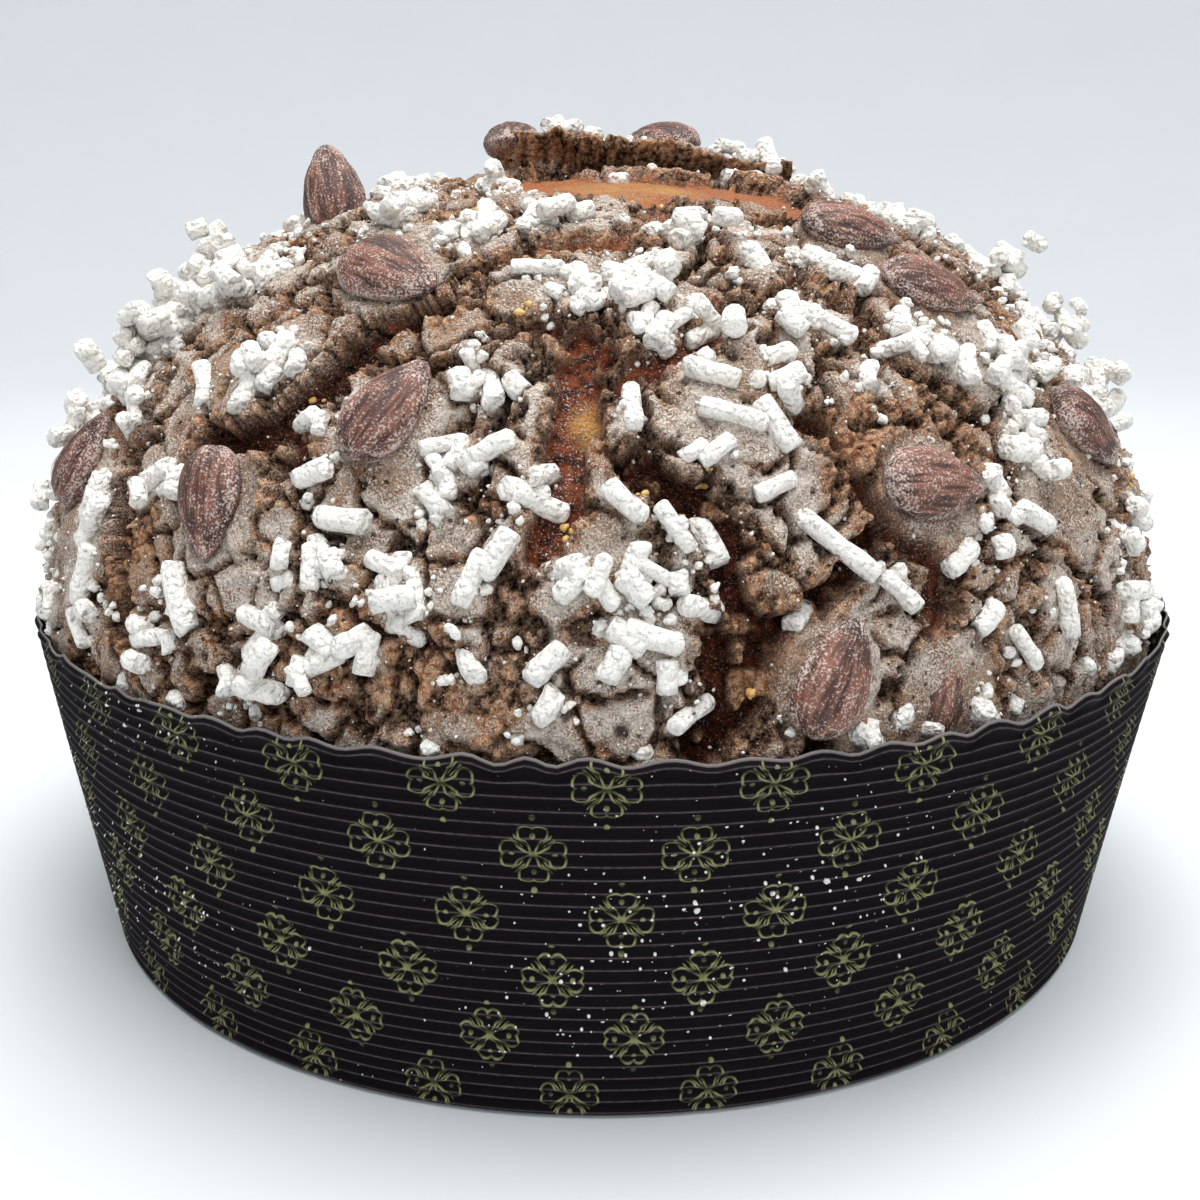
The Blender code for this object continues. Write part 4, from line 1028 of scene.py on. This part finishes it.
def paper_material(colours, sizes):
    """Fluted baking paper: dark, slightly waxed paper pressed into flutes, paler along the crests from wear
    and a painted sheen, and printed with olive-gold rosettes that break up where the flutes are deepest."""
    material, add, shader = new_material("Printed baking paper")
    # The UV map runs round the mould at its middle radius and up it, both in metres
    flat = add("VectorMath", {0: add("TexCoord").outputs["UV"], "Scale": 1.0 / MM}, operation="SCALE")
    across, upward, _ = add("SeparateXYZ", (flat,)).outputs
    crest, cut, dusty = add("SeparateColor", (add("Attribute", attribute_name="paper"),)).outputs

    fibre = add("TexNoise", {"Vector": flat, "Scale": 0.9, "Detail": 5.0})
    tone = add("MapRange", (fibre, 0.3, 0.7, 0.35, 1.0))
    # Crests paler: partly worn, partly a painted sheen
    worn = add("MapRange", (crest, 0.85, 1.0, 0.0, 0.7))
    worn = add("Math", (worn, tone), operation="MULTIPLY")
    base = add("Mix", {0: worn, 6: colours.paper, 7: colours.paper_wear_and_sheen}, data_type="RGBA")

    # Rosettes, and the dots above and below each one
    inked = rosette_mask(add, *lattice_place(add, across, upward, sizes, 0.0), sizes.rosette / MM)
    for lift in (DOT_LIFT_MM, -DOT_LIFT_MM):
        spot = add("CombineXYZ", lattice_place(add, across, upward, sizes, lift))
        dot = add("MapRange", (add("VectorMath", (spot,), operation="LENGTH"), 0.55, 0.35))
        inked = add("Math", (inked, dot), operation="MAXIMUM")
    raised = add("MapRange", (crest, 0.0, 0.45, 0.12, 1.0))
    patchy = add("MapRange", (fibre, 0.32, 0.5, 0.45, 1.0))
    for share in (raised, patchy):
        inked = add("Math", (inked, share), operation="MULTIPLY")
    printed = add("Mix", {0: inked, 6: base, 7: colours.ink}, data_type="RGBA")
    edged = add("Mix", {0: cut, 6: printed, 7: colours.paper_edge}, data_type="RGBA")

    # Sugar dust: specks about 0.2 mm wide, in 1.3 mm cells, more of them where the dust fell
    specks = add("TexVoronoi", {"Vector": flat, "Scale": 1.0 / 1.3})
    chance = add("SeparateColor", (specks.outputs["Color"],)).outputs[1]
    chance = add("Math", (chance, dusty), operation="MULTIPLY")
    radius = add("MapRange", (chance, 0.3, 1.0, 0.0, 0.3))
    speck = add("Math", (radius, specks), operation="SUBTRACT")
    dusted = blend(add, speck, 0.0, 0.06, edged, colours.sugar, 0.8)
    set_inputs(shader, {"Specular IOR Level": 0.06})
    coat(add, shader, dusted, 0.7, fibre, 0.35, 0.1 * MM)
    return material


def crumb_material(colours):
    """Baked crumb of the loaf's hidden foot: brown, dry and finely pored."""
    material, add, shader = new_material("Baked crumb")
    place = add("TexCoord").outputs["Object"]
    pores = add("TexNoise", {"Vector": place, "Scale": 1.0 / (2.5 * MM), "Detail": 4.0})
    coat(add, shader, blend(add, pores, 0.35, 0.65, colours.crumb_dark, colours.crumb), 0.9)
    return material


def peel_material(colours):
    """Candied lemon peel: translucent yellow specks with a soft shine."""
    material, add, shader = new_material("Candied peel")
    place = add("TexCoord").outputs["Object"]
    cloud = add("TexNoise", {"Vector": place, "Scale": 1.0 / MM, "Detail": 2.0})
    coat(add, shader, add("Mix", {0: cloud, 6: colours.peel, 7: colours.crumb}, data_type="RGBA"), 0.4)
    return material


def studio_material(colours):
    """Matte white studio paper: even and shadowless but for a faint grain."""
    material, add, shader = new_material("Matte studio paper")
    place = add("TexCoord").outputs["Object"]
    grain = add("TexNoise", {"Vector": place, "Scale": 12.0, "Detail": 2.0})
    tone = add("MapRange", (grain, 0.0, 1.0, 0.98, 1.02))
    coat(add, shader, add("VectorMath", {0: colours.floor[:3], "Scale": tone}, operation="SCALE"), 0.8)
    return material


def unit_lump(subdivisions):
    """(points, triangles) of a ball of equal triangles, radius 1."""
    shape = bmesh.new()
    bmesh.ops.create_icosphere(shape, subdivisions=subdivisions, radius=1.0)
    points = np.array([vert.co[:] for vert in shape.verts])
    faces = np.array([[vert.index for vert in face.verts] for face in shape.faces])
    shape.free()
    return points, faces


def random_turns(rng, count):
    """Rotation matrices of evenly random turns, from random unit quaternions."""
    q = rng.normal(size=(count, 4))
    w, x, y, z = (q / np.linalg.norm(q, axis=1)[:, None]).T
    rows = [
        [1 - 2 * (y * y + z * z), 2 * (x * y - z * w), 2 * (x * z + y * w)],
        [2 * (x * y + z * w), 1 - 2 * (x * x + z * z), 2 * (y * z - x * w)],
        [2 * (x * z - y * w), 2 * (y * z + x * w), 1 - 2 * (x * x + y * y)],
    ]
    return np.moveaxis(np.array(rows), 2, 0)


def lump_cloud(name, middles, radii, subdivisions, knobbly, seed, material):
    """One piece made of many lumps: a ball at each middle, stretched and turned at random, with its surface
    pushed in and out by noise about half as wide as the lump."""
    rng = np.random.default_rng(seed)
    ball, faces = unit_lump(subdivisions)
    count = len(middles)
    stretch = rng.uniform(0.7, 1.25, (count, 1, 3))
    turned = np.einsum("nij,nkj->nki", random_turns(rng, count), ball[None] * stretch)
    bumps = value_noise((turned + rng.uniform(0, 99, (count, 1, 3))).reshape(-1, 3), 0.7, seed)
    turned *= 1.0 + knobbly * bumps.reshape(count, -1, 1)
    points = middles[:, None] + turned * radii[:, None, None]
    offsets = (np.arange(count) * len(ball))[:, None, None]
    return new_piece(name, points.reshape(-1, 3), [(faces[None] + offsets).reshape(-1, 3)], material)


def on_crust(points, sizes, rise):
    """Points dropped onto the finished crust, then raised along the dome's normal by rise."""
    ways = ways_to(points)
    smooth = dome_points(ways)
    height, _, _ = crust_look(smooth, sizes)
    return held_in(smooth + ways * height[:, None]) + dome_normals(ways) * rise[:, None]


class PANETTONE_OT_crust(bpy.types.Operator):
    """Build the crust: glaze plates, broken edges and fissures, and the loaf's foot inside the mould"""

    bl_idname = "panettone.crust"
    bl_label = "Crust"

    def execute(self, context):
        sizes = context.scene.panettone_sizes
        colours = context.scene.panettone_colours
        material = crust_material(colours)
        turn, climb = disc_grid(CRUST_SIDE)
        ways = direction(turn.ravel(), climb.ravel())
        smooth = dome_points(ways)
        first, last, _ = settled_sugar()
        near = np.full(len(smooth), 1e3)
        for start, end in zip(first, last):
            near = np.minimum(near, run_distance(smooth, start, end))
        height, mask, golden = crust_look(smooth, sizes, near)
        strength = smooth_step(-2.0, 4.0, climb.ravel())
        points = held_in(smooth + ways * (height * strength)[:, None])
        points[:, 1] -= FLAP_LEAN_MM * flap_lift(smooth) / FLAP_LIFT_MM
        points = points.reshape(CRUST_SIDE, CRUST_SIDE, 3)
        mask = mask.reshape(CRUST_SIDE, CRUST_SIDE, 4)
        golden = golden.reshape(CRUST_SIDE, CRUST_SIDE)
        half = CRUST_SIDE // 2 + 1
        for number, (row, column) in enumerate(itertools.product((0, half - 1), repeat=2), 1):
            patch = (slice(row, row + half), slice(column, column + half))
            quads = grid_quads(half, half)[:, ::-1]
            piece = new_piece(f"crust_{number}", points[patch].reshape(-1, 3), [quads], material)
            # The crust attribute holds glaze, bare crumb, painted shade in the hollows and sugar dust
            point_colour(piece, "crust", mask[patch].reshape(-1, 4))
            point_number(piece, "gold", golden[patch].ravel())
            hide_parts("loaf")
        return self.foot(colours)

    def foot(self, colours):
        """The part of the loaf that the mould hides: a profile turned about Z, closed above and below."""
        bottom = FLOOR_MM + 0.35
        base = [(BODY_FOOT_RADIUS_MM - 2.2, bottom + 2.0), (BODY_FOOT_RADIUS_MM - 6.0, bottom), (0.0, bottom)]
        points, faces, _ = turned_surface(np.array(FOOT_ROWS + base), FOOT_STEPS)
        piece = new_piece("loaf_foot", points, faces, crumb_material(colours))
        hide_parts("loaf")
        return {"FINISHED"}


def turned_surface(profile, steps):
    """(points, faces, columns) of a profile of (radius, height) rows turned about Z. Its first and last rows
    lie on the axis and become one point each; the rows between them become rings."""
    turn = np.arange(steps) * math.tau / steps
    rings = profile[1:-1]
    x = rings[:, :1] * np.sin(turn)
    y = -rings[:, :1] * np.cos(turn)
    z = np.repeat(rings[:, 1:], steps, axis=1)
    points = np.stack([x, y, z], axis=-1).reshape(-1, 3)
    points = np.concatenate([points, [[0.0, 0.0, profile[0, 1]], [0.0, 0.0, profile[-1, 1]]]])
    faces, columns = tube_faces(len(rings), steps)
    return points, [part[:, ::-1] for part in faces], [part[:, ::-1] for part in columns]


def strewn(rng, middles, reach, beside, lowest, free):
    """Two sets of places near the dome: so many beside the middles, about that reach away, and so many spread
    freely over all of it that is above the lowest share of its height."""
    near = middles[rng.integers(0, len(middles), beside)] + rng.normal(0.0, reach, (beside, 3))
    climb = np.degrees(np.arcsin(rng.uniform(lowest, 1.0, free)))
    return near, dome_points(direction(rng.uniform(-180.0, 180.0, free), climb))


def on_plates(spots, almond_reach, lowest):
    """Which places are off the almonds, out of the fissures and above that height."""
    gap, _ = fissure_field(spots)
    return (almond_gap(spots) > almond_reach) & (gap > -0.5) & (spots[:, 2] > lowest)


class PANETTONE_OT_sugar(bpy.types.Operator):
    """Build the pearl sugar: rods, small lumps and loose grains"""

    bl_idname = "panettone.sugar"
    bl_label = "Pearl sugar"

    def execute(self, context):
        sizes = context.scene.panettone_sizes
        material = sugar_material(context.scene.panettone_colours)
        first, last, radii = settled_sugar()
        self.rods(first, last, radii, material)
        middles = (first + last) / 2.0
        self.lumps(sizes, middles, material)
        self.grains(sizes, middles, material)
        return {"FINISHED"}

    def rods(self, first, last, radii, material):
        """Rods: a ring of points carried along each one's axis and drawn in at its ends, with the axis bent
        a little and the skin pushed in and out by noise."""
        rng = np.random.default_rng(SEED + 20)
        sides = 10
        radii = radii * rng.uniform(0.64, 0.92, len(radii))
        stations = np.array([-1.0, -0.93, -0.45, 0.0, 0.45, 0.93, 1.0])
        girth = np.array([0.74, 0.98, 1.03, 0.97, 1.03, 1.0, 0.76])
        axis = last - first
        length = np.linalg.norm(axis, axis=1) + radii
        axis = axis / np.linalg.norm(axis, axis=1)[:, None]
        helper = np.where(np.abs(axis[:, 2:]) < 0.9, [[0.0, 0.0, 1.0]], [[1.0, 0.0, 0.0]])
        side = np.cross(axis, helper)
        side /= np.linalg.norm(side, axis=1)[:, None]
        other = np.cross(axis, side)
        turn = np.arange(sides) * math.tau / sides
        round_way = np.cos(turn)[:, None] * side[:, None] + np.sin(turn)[:, None] * other[:, None]
        middle = (first + last) / 2.0
        bend = rng.uniform(-0.7, 0.7, (len(first), 1, 1)) * (1.0 - stations ** 2)[:, None] * side[:, None]
        reach = stations[None, :] * length[:, None] / 2.0
        spine = middle[:, None] + axis[:, None] * reach[..., None] + bend
        skin = spine[:, :, None] + round_way[:, None] * (radii[:, None] * girth[None, :])[:, :, None, None]
        flat = skin.reshape(-1, 3)
        knob = 0.2 * value_noise(flat, 2.4, 91) + 0.17 * value_noise(flat, 1.1, 92)
        skin = skin + round_way[:, None] * knob.reshape(*skin.shape[:3], 1)
        slant = rng.uniform(-0.45, 0.45, (len(first), 2, 1)) * radii[:, None, None] * np.cos(turn)
        skin[:, 0] += axis[:, None] * slant[:, 0, :, None]
        skin[:, -1] += axis[:, None] * slant[:, 1, :, None]
        tips = np.stack([spine[:, 0], spine[:, -1]], axis=1)
        points = np.concatenate([skin.reshape(len(first), -1, 3), tips], axis=1)
        offsets = (np.arange(len(first)) * points.shape[1])[:, None, None]
        faces, _ = tube_faces(len(stations), sides)
        faces = [(part[None] + offsets).reshape(-1, part.shape[1]) for part in faces]
        piece = new_piece("sugar_rods", points.reshape(-1, 3), faces, material)
        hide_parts("loaf")

    def lumps(self, sizes, middles, material):
        """Lumps: in threes, most of them close to a rod, the rest anywhere on the plates or where the sugar
        lies thick, and a few wedged at the mould's rim."""
        rng = np.random.default_rng(SEED + 21)
        groups = sizes.sugar_lumps // 3
        beside = int(groups * 0.7)
        spots = np.concatenate(strewn(rng, middles, 2.6, beside, 0.1, groups - beside))
        spots = np.repeat(spots, 3, axis=0) + rng.normal(0.0, 0.9, (len(spots) * 3, 3))
        for turn, climb, reach, lumps in CLUMPS:
            thick = rng.normal(0.0, reach / 2.0, (3 * (lumps // 3), 3))
            spots = np.concatenate([spots, dome_points(direction(turn, climb)[None]) + thick])
        radii = rng.uniform(0.5, 1.3, len(spots)) * np.tile([1.0, 0.75, 0.5], len(spots) // 3)
        kept = on_plates(spots, 6.0, MOULD_HEIGHT_MM)
        spots, radii = spots[kept], radii[kept]
        settled = on_crust(spots, sizes, radii * 0.45)
        turns, climbs, wedge_radii = np.array(WEDGED, float).T
        wedged = on_crust(dome_points(direction(turns, climbs)), sizes, wedge_radii * -0.1)
        settled, radii = np.concatenate([settled, wedged]), np.concatenate([radii, wedge_radii])
        lump_cloud("sugar_lumps", settled, radii, 2, 0.5, SEED + 22, material)

    def grains(self, sizes, middles, material):
        """Grains: most of them scattered round the rods, the rest in drifts over the crust."""
        rng = np.random.default_rng(SEED + 23)
        beside = int(sizes.sugar_grains * 0.6)
        spots, loose = strewn(rng, middles, 4.0, beside, 0.05, sizes.sugar_grains - beside)
        spots = np.concatenate([spots, loose[value_noise(loose, 9.0, 95) > -0.25]])
        radii = 0.14 + 0.32 * rng.random(len(spots)) ** 3
        kept = on_plates(spots, 5.6, MOULD_HEIGHT_MM - 2.0)
        spots, radii = spots[kept], radii[kept]
        settled = on_crust(spots, sizes, radii * 0.5)
        lump_cloud("sugar_grains", settled, radii, 1, 0.6, SEED + 24, material)


class PANETTONE_OT_peel(bpy.types.Operator):
    """Build the specks of candied peel in the crust"""

    bl_idname = "panettone.peel"
    bl_label = "Candied peel"

    def execute(self, context):
        sizes = context.scene.panettone_sizes
        rng = np.random.default_rng(SEED + 30)
        turns, climbs = np.array(PEEL, float).T
        turns = np.concatenate([turns, rng.uniform(70.0, 290.0, BACK_PEEL)])
        climbs = np.concatenate([climbs, rng.uniform(12.0, 70.0, BACK_PEEL)])
        spots = np.repeat(dome_points(direction(turns, climbs)), 4, axis=0)
        spots = spots + rng.normal(0.0, 0.8, spots.shape)
        radii = rng.uniform(0.25, 0.7, len(spots))
        settled = on_crust(spots, sizes, radii * 0.2)
        material = peel_material(context.scene.panettone_colours)
        lump_cloud("candied_peel", settled, radii, 2, 0.6, SEED + 31, material)
        return {"FINISHED"}


class PANETTONE_OT_almonds(bpy.types.Operator):
    """Build the whole almonds, each in place of its solid"""

    bl_idname = "panettone.almonds"
    bl_label = "Almonds"

    def execute(self, context):
        material = almond_material(context.scene.panettone_colours)
        for number, place in enumerate(almond_places(), 1):
            self.almond(number, place, material)
        return {"FINISHED"}

    def almond(self, number, place, material):
        """One almond: rings round its length, drawn in towards its pointed end, with furrows that run along
        it. The furrows are noise stretched along the almond, and the skin's edge stands up a little."""
        *place, size = place
        length, width, thick = (size * side for side in ALMOND_MM)
        sides, rows = 72, 37
        pitch = np.linspace(math.pi, 0.0, rows)[1:-1]
        turn = np.arange(sides) * math.tau / sides
        z = np.repeat(np.cos(pitch)[:, None], sides, axis=1)
        slim = np.sin(pitch)[:, None] * (1.0 - ALMOND_TAPER * z)
        x, y = slim * np.cos(turn), slim * np.sin(turn)
        grown = z + ALMOND_POINT * np.maximum(z, 0.0) ** 4
        local = np.stack([x * width / 2.0, y * thick / 2.0, grown * length / 2.0], axis=-1)
        out = local * np.array([1.0, 1.0, 0.15])
        out /= np.linalg.norm(out, axis=-1)[..., None]
        sample = (local * np.array([1.0, 1.0, 0.16]) + number * 31.7).reshape(-1, 3)
        furrow = (0.22 * value_noise(sample, 0.9, 96) + 0.16 * value_noise(sample, 2.0, 97)).reshape(z.shape)
        local = local + out * (furrow + 0.22 * bell(y, 0.16) - 0.2)[..., None]
        ends = np.array([[0.0, 0.0, -length / 2.0], [0.0, 0.0, (1.0 + ALMOND_POINT) * length / 2.0]])
        points = np.concatenate([local.reshape(-1, 3), ends])
        middle, along, normal = almond_axes(*place)
        middle = middle + np.array([0.0, 0.0, 1.0]) * flap_lift(middle[None, :])[0]
        points = middle + points @ np.stack([np.cross(normal, along), normal, along])
        faces, columns = tube_faces(len(pitch), sides)
        piece = new_piece(f"almond_skin_{number:02d}", points, faces, material)
        around = in_a_row(columns) * math.pi * width / sides * MM
        upward = np.concatenate([grown.ravel(), [-1.0, 1.0 + ALMOND_POINT]]) * length / 2.0 * MM
        corner_uv(piece, np.stack([around, upward[in_a_row(faces)] + number * 0.05], axis=1))
        rim = np.clip(bell(y, 0.35) + 0.5 * smooth_step(0.5, 0.95, np.abs(z)), 0.0, 1.0)
        # ridge is low in the furrows, where the skin's colour gets painted shade
        ridge = smooth_step(-0.3, 0.3, furrow)
        skin = np.stack([rim, ridge, np.zeros_like(rim), np.ones_like(rim)], axis=-1).reshape(-1, 4)
        point_colour(piece, "skin", np.concatenate([skin, [[0.5, 0.5, 0.0, 1.0]] * 2]))
        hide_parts(f"almond_{number:02d}")


class PANETTONE_OT_mould(bpy.types.Operator):
    """Build the fluted paper mould with its torn rim and print, and the sugar flecks on it"""

    bl_idname = "panettone.mould"
    bl_label = "Paper mould"

    def execute(self, context):
        sizes = context.scene.panettone_sizes
        colours = context.scene.panettone_colours
        self.wall(sizes, paper_material(colours, sizes))
        self.flecks(sizes, sugar_material(colours))
        return {"FINISHED"}

    def flute(self, z):
        """1 on a flute's crest and 0 between two: a cosine with its crests made narrower."""
        return (0.5 + 0.5 * np.cos(math.tau * (z * FLUTES / MOULD_HEIGHT_MM - 0.5))) ** 1.4

    def profile(self, sizes):
        """Rows of (radius, height, crest, cut edge) round the sheet: under the base, up the outside, over the
        rim and down the inside. The outside is a leaning line less the flute's depth between crests."""
        depth, sheet = sizes.flute_depth / MM, sizes.paper_sheet / MM
        pitch = MOULD_HEIGHT_MM / FLUTES
        steps = np.array([0.0, 0.22, 0.38, 0.5, 0.62, 0.78])
        z = (np.arange(FLUTES)[:, None] + steps[None, :]).ravel() * pitch
        z = np.append(z[3:], MOULD_HEIGHT_MM - 0.3)
        crest = self.flute(z)
        outer = BASE_RADIUS_MM + LEAN * z - depth * (1.0 - crest)
        rows = [(0.0, 0.0, 0.5, 0.0), (BASE_RADIUS_MM - 1.6, 0.0, 0.5, 0.0)]
        rows += [(BASE_RADIUS_MM - 0.6, 0.4, 0.5, 0.0)]
        rows += list(zip(outer, z, crest, np.where(z > MOULD_HEIGHT_MM - 0.45, 0.9, 0.0)))
        top = RIM_RADIUS_MM - depth * 0.9
        rows += [(top - 0.08, MOULD_HEIGHT_MM, 0.6, 1.0), (top - sheet + 0.08, MOULD_HEIGHT_MM, 0.6, 1.0)]
        inner = z[z > MOULD_HEIGHT_MM - 14.0][::-1]
        inner_crest = self.flute(inner)
        inner_radius = BASE_RADIUS_MM + LEAN * inner - depth * (1.0 - inner_crest) - sheet
        rows += list(zip(inner_radius, inner, 1.0 - inner_crest, np.zeros(len(inner))))
        for low in (50.0, 34.0, 18.0, 4.0):
            rows.append((BASE_RADIUS_MM + LEAN * low - PAPER_MM, low, 0.3, 0.0))
        rows += [(BASE_RADIUS_MM - PAPER_MM - 1.0, FLOOR_MM, 0.3, 0.0), (0.0, FLOOR_MM, 0.3, 0.0)]
        return np.array(rows)[::-1]

    def wall(self, sizes, material):
        """The sheet: the profile turned about Z, leaning out of round towards the rim, with the rim torn in
        uneven waves that move it up and down and a little in and out."""
        rows = self.profile(sizes)
        points, faces, columns = turned_surface(rows[:, :2], MOULD_STEPS)
        turn = np.arctan2(points[:, 0], -points[:, 1])
        radius = np.maximum(np.hypot(points[:, 0], points[:, 1]), 1e-6)
        level = points[:, 2].copy()
        share = np.clip(level / MOULD_HEIGHT_MM, 0.0, 1.0)
        on_wall = radius > BASE_RADIUS_MM - PAPER_MM - 2.5
        ring = np.stack([np.cos(turn), np.sin(turn), np.zeros_like(turn)], axis=1) * 18.0
        wave = np.cos(SCALLOPS * turn + 1.7 * value_noise(ring, 3.0, 101))
        wave = wave * (0.8 + 0.55 * value_noise(ring, 2.0, 102)) + 0.35 * value_noise(ring, 0.6, 106)
        near_rim = smooth_step(MOULD_HEIGHT_MM - 5.0, MOULD_HEIGHT_MM, level)
        curl = 0.35 * near_rim * np.sin(SCALLOPS * turn + 1.1 + 0.9 * value_noise(ring, 5.0, 103))
        dent = 0.25 * value_noise(np.column_stack([ring[:, :2] * 2.0, level * 0.1]), 4.0, 104) * share
        points[:, :2] *= (1.0 + on_wall * (mould_sway(turn) * share ** 2 + curl + dent) / radius)[:, None]
        points[:, 2] += near_rim * wave * SCALLOP_DEPTH_MM * 0.7
        piece = new_piece("fluted_paper", points, faces, material)
        crest = np.concatenate([np.repeat(rows[1:-1, 2], MOULD_STEPS), [0.5, 0.3]])
        cut = np.concatenate([np.repeat(rows[1:-1, 3], MOULD_STEPS), [0.0, 0.0]])
        fallen = self.dustiness(turn, level)
        point_colour(piece, "paper", np.stack([crest, cut, fallen, np.ones_like(cut)], axis=1))
        around = in_a_row(columns) * math.tau / MOULD_STEPS * MEAN_RADIUS_MM
        corner_uv(piece, np.stack([around, level[in_a_row(faces)]], axis=1) * MM)
        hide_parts("paper_mould")

    def dustiness(self, turn, level):
        """How much sugar dust lies on the wall: in drifts, and more to the right of the front."""
        ring = np.column_stack([np.cos(turn) * 60.0, np.sin(turn) * 60.0, level])
        drifts = 0.45 + 0.6 * value_noise(ring, 22.0, 105)
        return np.clip(drifts + 0.35 * bell(turn - 0.33, 0.32) + 0.35 * bell(turn + 1.15, 0.4), 0.0, 1.0)

    def flecks(self, sizes, material):
        """Flecks: small flat lumps of sugar that lie in the flutes, more of them where the dust is thick."""
        rng = np.random.default_rng(SEED + 40)
        count = sizes.paper_flecks * 6
        turn = rng.uniform(-math.pi, math.pi, count)
        level = rng.uniform(2.0, MOULD_HEIGHT_MM - 1.0, count)
        kept = rng.random(count) * 3.2 < self.dustiness(turn, level) ** 2
        turn, level = turn[kept], level[kept]
        radius = BASE_RADIUS_MM + LEAN * level + mould_sway(turn) * (level / MOULD_HEIGHT_MM) ** 2
        radius = radius - sizes.flute_depth / MM * (1.0 - self.flute(level))
        spots = np.stack([radius * np.sin(turn), -radius * np.cos(turn), level], axis=1)
        radii = 0.14 + 0.5 * rng.random(len(spots)) ** 4
        lump_cloud("paper_flecks", spots, radii, 1, 0.3, SEED + 41, material)


class PANETTONE_OT_stage(bpy.types.Operator):
    """Build the pale studio, its soft lights and the camera"""

    bl_idname = "panettone.stage"
    bl_label = "Stage"

    def execute(self, context):
        colours = context.scene.panettone_colours
        self.cove(colours)
        self.light("top_light", (0.06, -0.02, 1.2), (0.0, 0.0, 0.08), 1.2, 1.0, 22.0)
        self.light("back_light", (0.0, 0.75, 1.1), (0.0, 1.5, 0.2), 1.4, 0.3, 2.5)
        self.light("front_light", (0.25, -0.9, 0.85), (0.0, 0.0, 0.07), 0.7, 0.5, 3.4)
        self.camera(context)
        world = bpy.data.worlds.new("Studio air")
        world.use_nodes = True
        set_inputs(world.node_tree.nodes["Background"], (colours.air, 0.45))
        context.scene.world = world
        context.scene.view_settings.view_transform = "Standard"
        return {"FINISHED"}

    def cove(self, colours):
        """Floor and backdrop in one: a disc whose border sweeps up in a quarter circle to a low wall."""
        bend = np.linspace(0.0, math.pi / 2.0, 13)
        rows = [(0.0, 0.0), (300.0, 0.0)]
        rows += [(900.0 + 900.0 * math.sin(a), 900.0 - 900.0 * math.cos(a)) for a in bend]
        rows += [(1800.0, 1600.0), (0.0, 1600.0)]
        points, (quads, fan, _), _ = turned_surface(np.array(rows), COVE_STEPS)
        floor = new_object("studio_cove", points[:-1], [quads, fan], studio_material(colours))

    def light(self, name, place, target, width, height, power):
        """A rectangular soft light that faces a target point."""
        lamp = bpy.data.lights.new(name, "AREA")
        lamp.shape = "RECTANGLE"
        lamp.size = width
        lamp.size_y = height
        lamp.energy = power
        item = bpy.data.objects.new(name, lamp)
        item.location = place
        away = np.array(place) - np.array(target)
        flat = math.hypot(away[0], away[1])
        item.rotation_euler = Euler((math.atan2(flat, away[2]), 0.0, math.atan2(away[0], -away[1])))
        bpy.context.scene.collection.objects.link(item)

    def camera(self, context):
        """The photograph's camera: in front, a little above the crown, pitched down."""
        lens = bpy.data.cameras.new("camera")
        lens.lens = FOCAL_MM
        lens.sensor_width = 36.0
        lens.clip_start = 0.01
        item = bpy.data.objects.new("camera", lens)
        item.location = [value * MM for value in CAMERA_MM]
        item.rotation_euler = Euler((math.pi / 2.0 - CAMERA_PITCH, 0.0, 0.0))
        context.scene.collection.objects.link(item)
        context.scene.camera = item


class PANETTONE_PT_panel(bpy.types.Panel):
    """Lists the panettone's pieces and settings"""

    bl_label = "Panettone"
    bl_idname = "PANETTONE_PT_panel"
    bl_space_type = "VIEW_3D"
    bl_region_type = "UI"
    bl_category = "Panettone"

    def draw(self, context):
        for operator in OPERATORS:
            self.layout.operator(operator.bl_idname)
        for settings in (context.scene.panettone_sizes, context.scene.panettone_colours):
            box = self.layout.box()
            for name in settings.__annotations__:
                box.prop(settings, name)


OPERATORS = (
    PANETTONE_OT_stage,
    PANETTONE_OT_crust,
    PANETTONE_OT_sugar,
    PANETTONE_OT_peel,
    PANETTONE_OT_almonds,
    PANETTONE_OT_mould,
)
CLASSES = (PanettoneSizes, PanettoneColours, *OPERATORS, PANETTONE_PT_panel)


def register():
    for item in CLASSES:
        bpy.utils.register_class(item)
    bpy.types.Scene.panettone_sizes = PointerProperty(type=PanettoneSizes)
    bpy.types.Scene.panettone_colours = PointerProperty(type=PanettoneColours)


def unregister():
    del bpy.types.Scene.panettone_colours
    del bpy.types.Scene.panettone_sizes
    for item in reversed(CLASSES):
        bpy.utils.unregister_class(item)


def main():
    register()
    bpy.ops.panettone.stage()
    bpy.ops.panettone.crust()
    bpy.ops.panettone.sugar()
    bpy.ops.panettone.peel()
    bpy.ops.panettone.almonds()
    bpy.ops.panettone.mould()


if __name__ == "__main__":
    main()
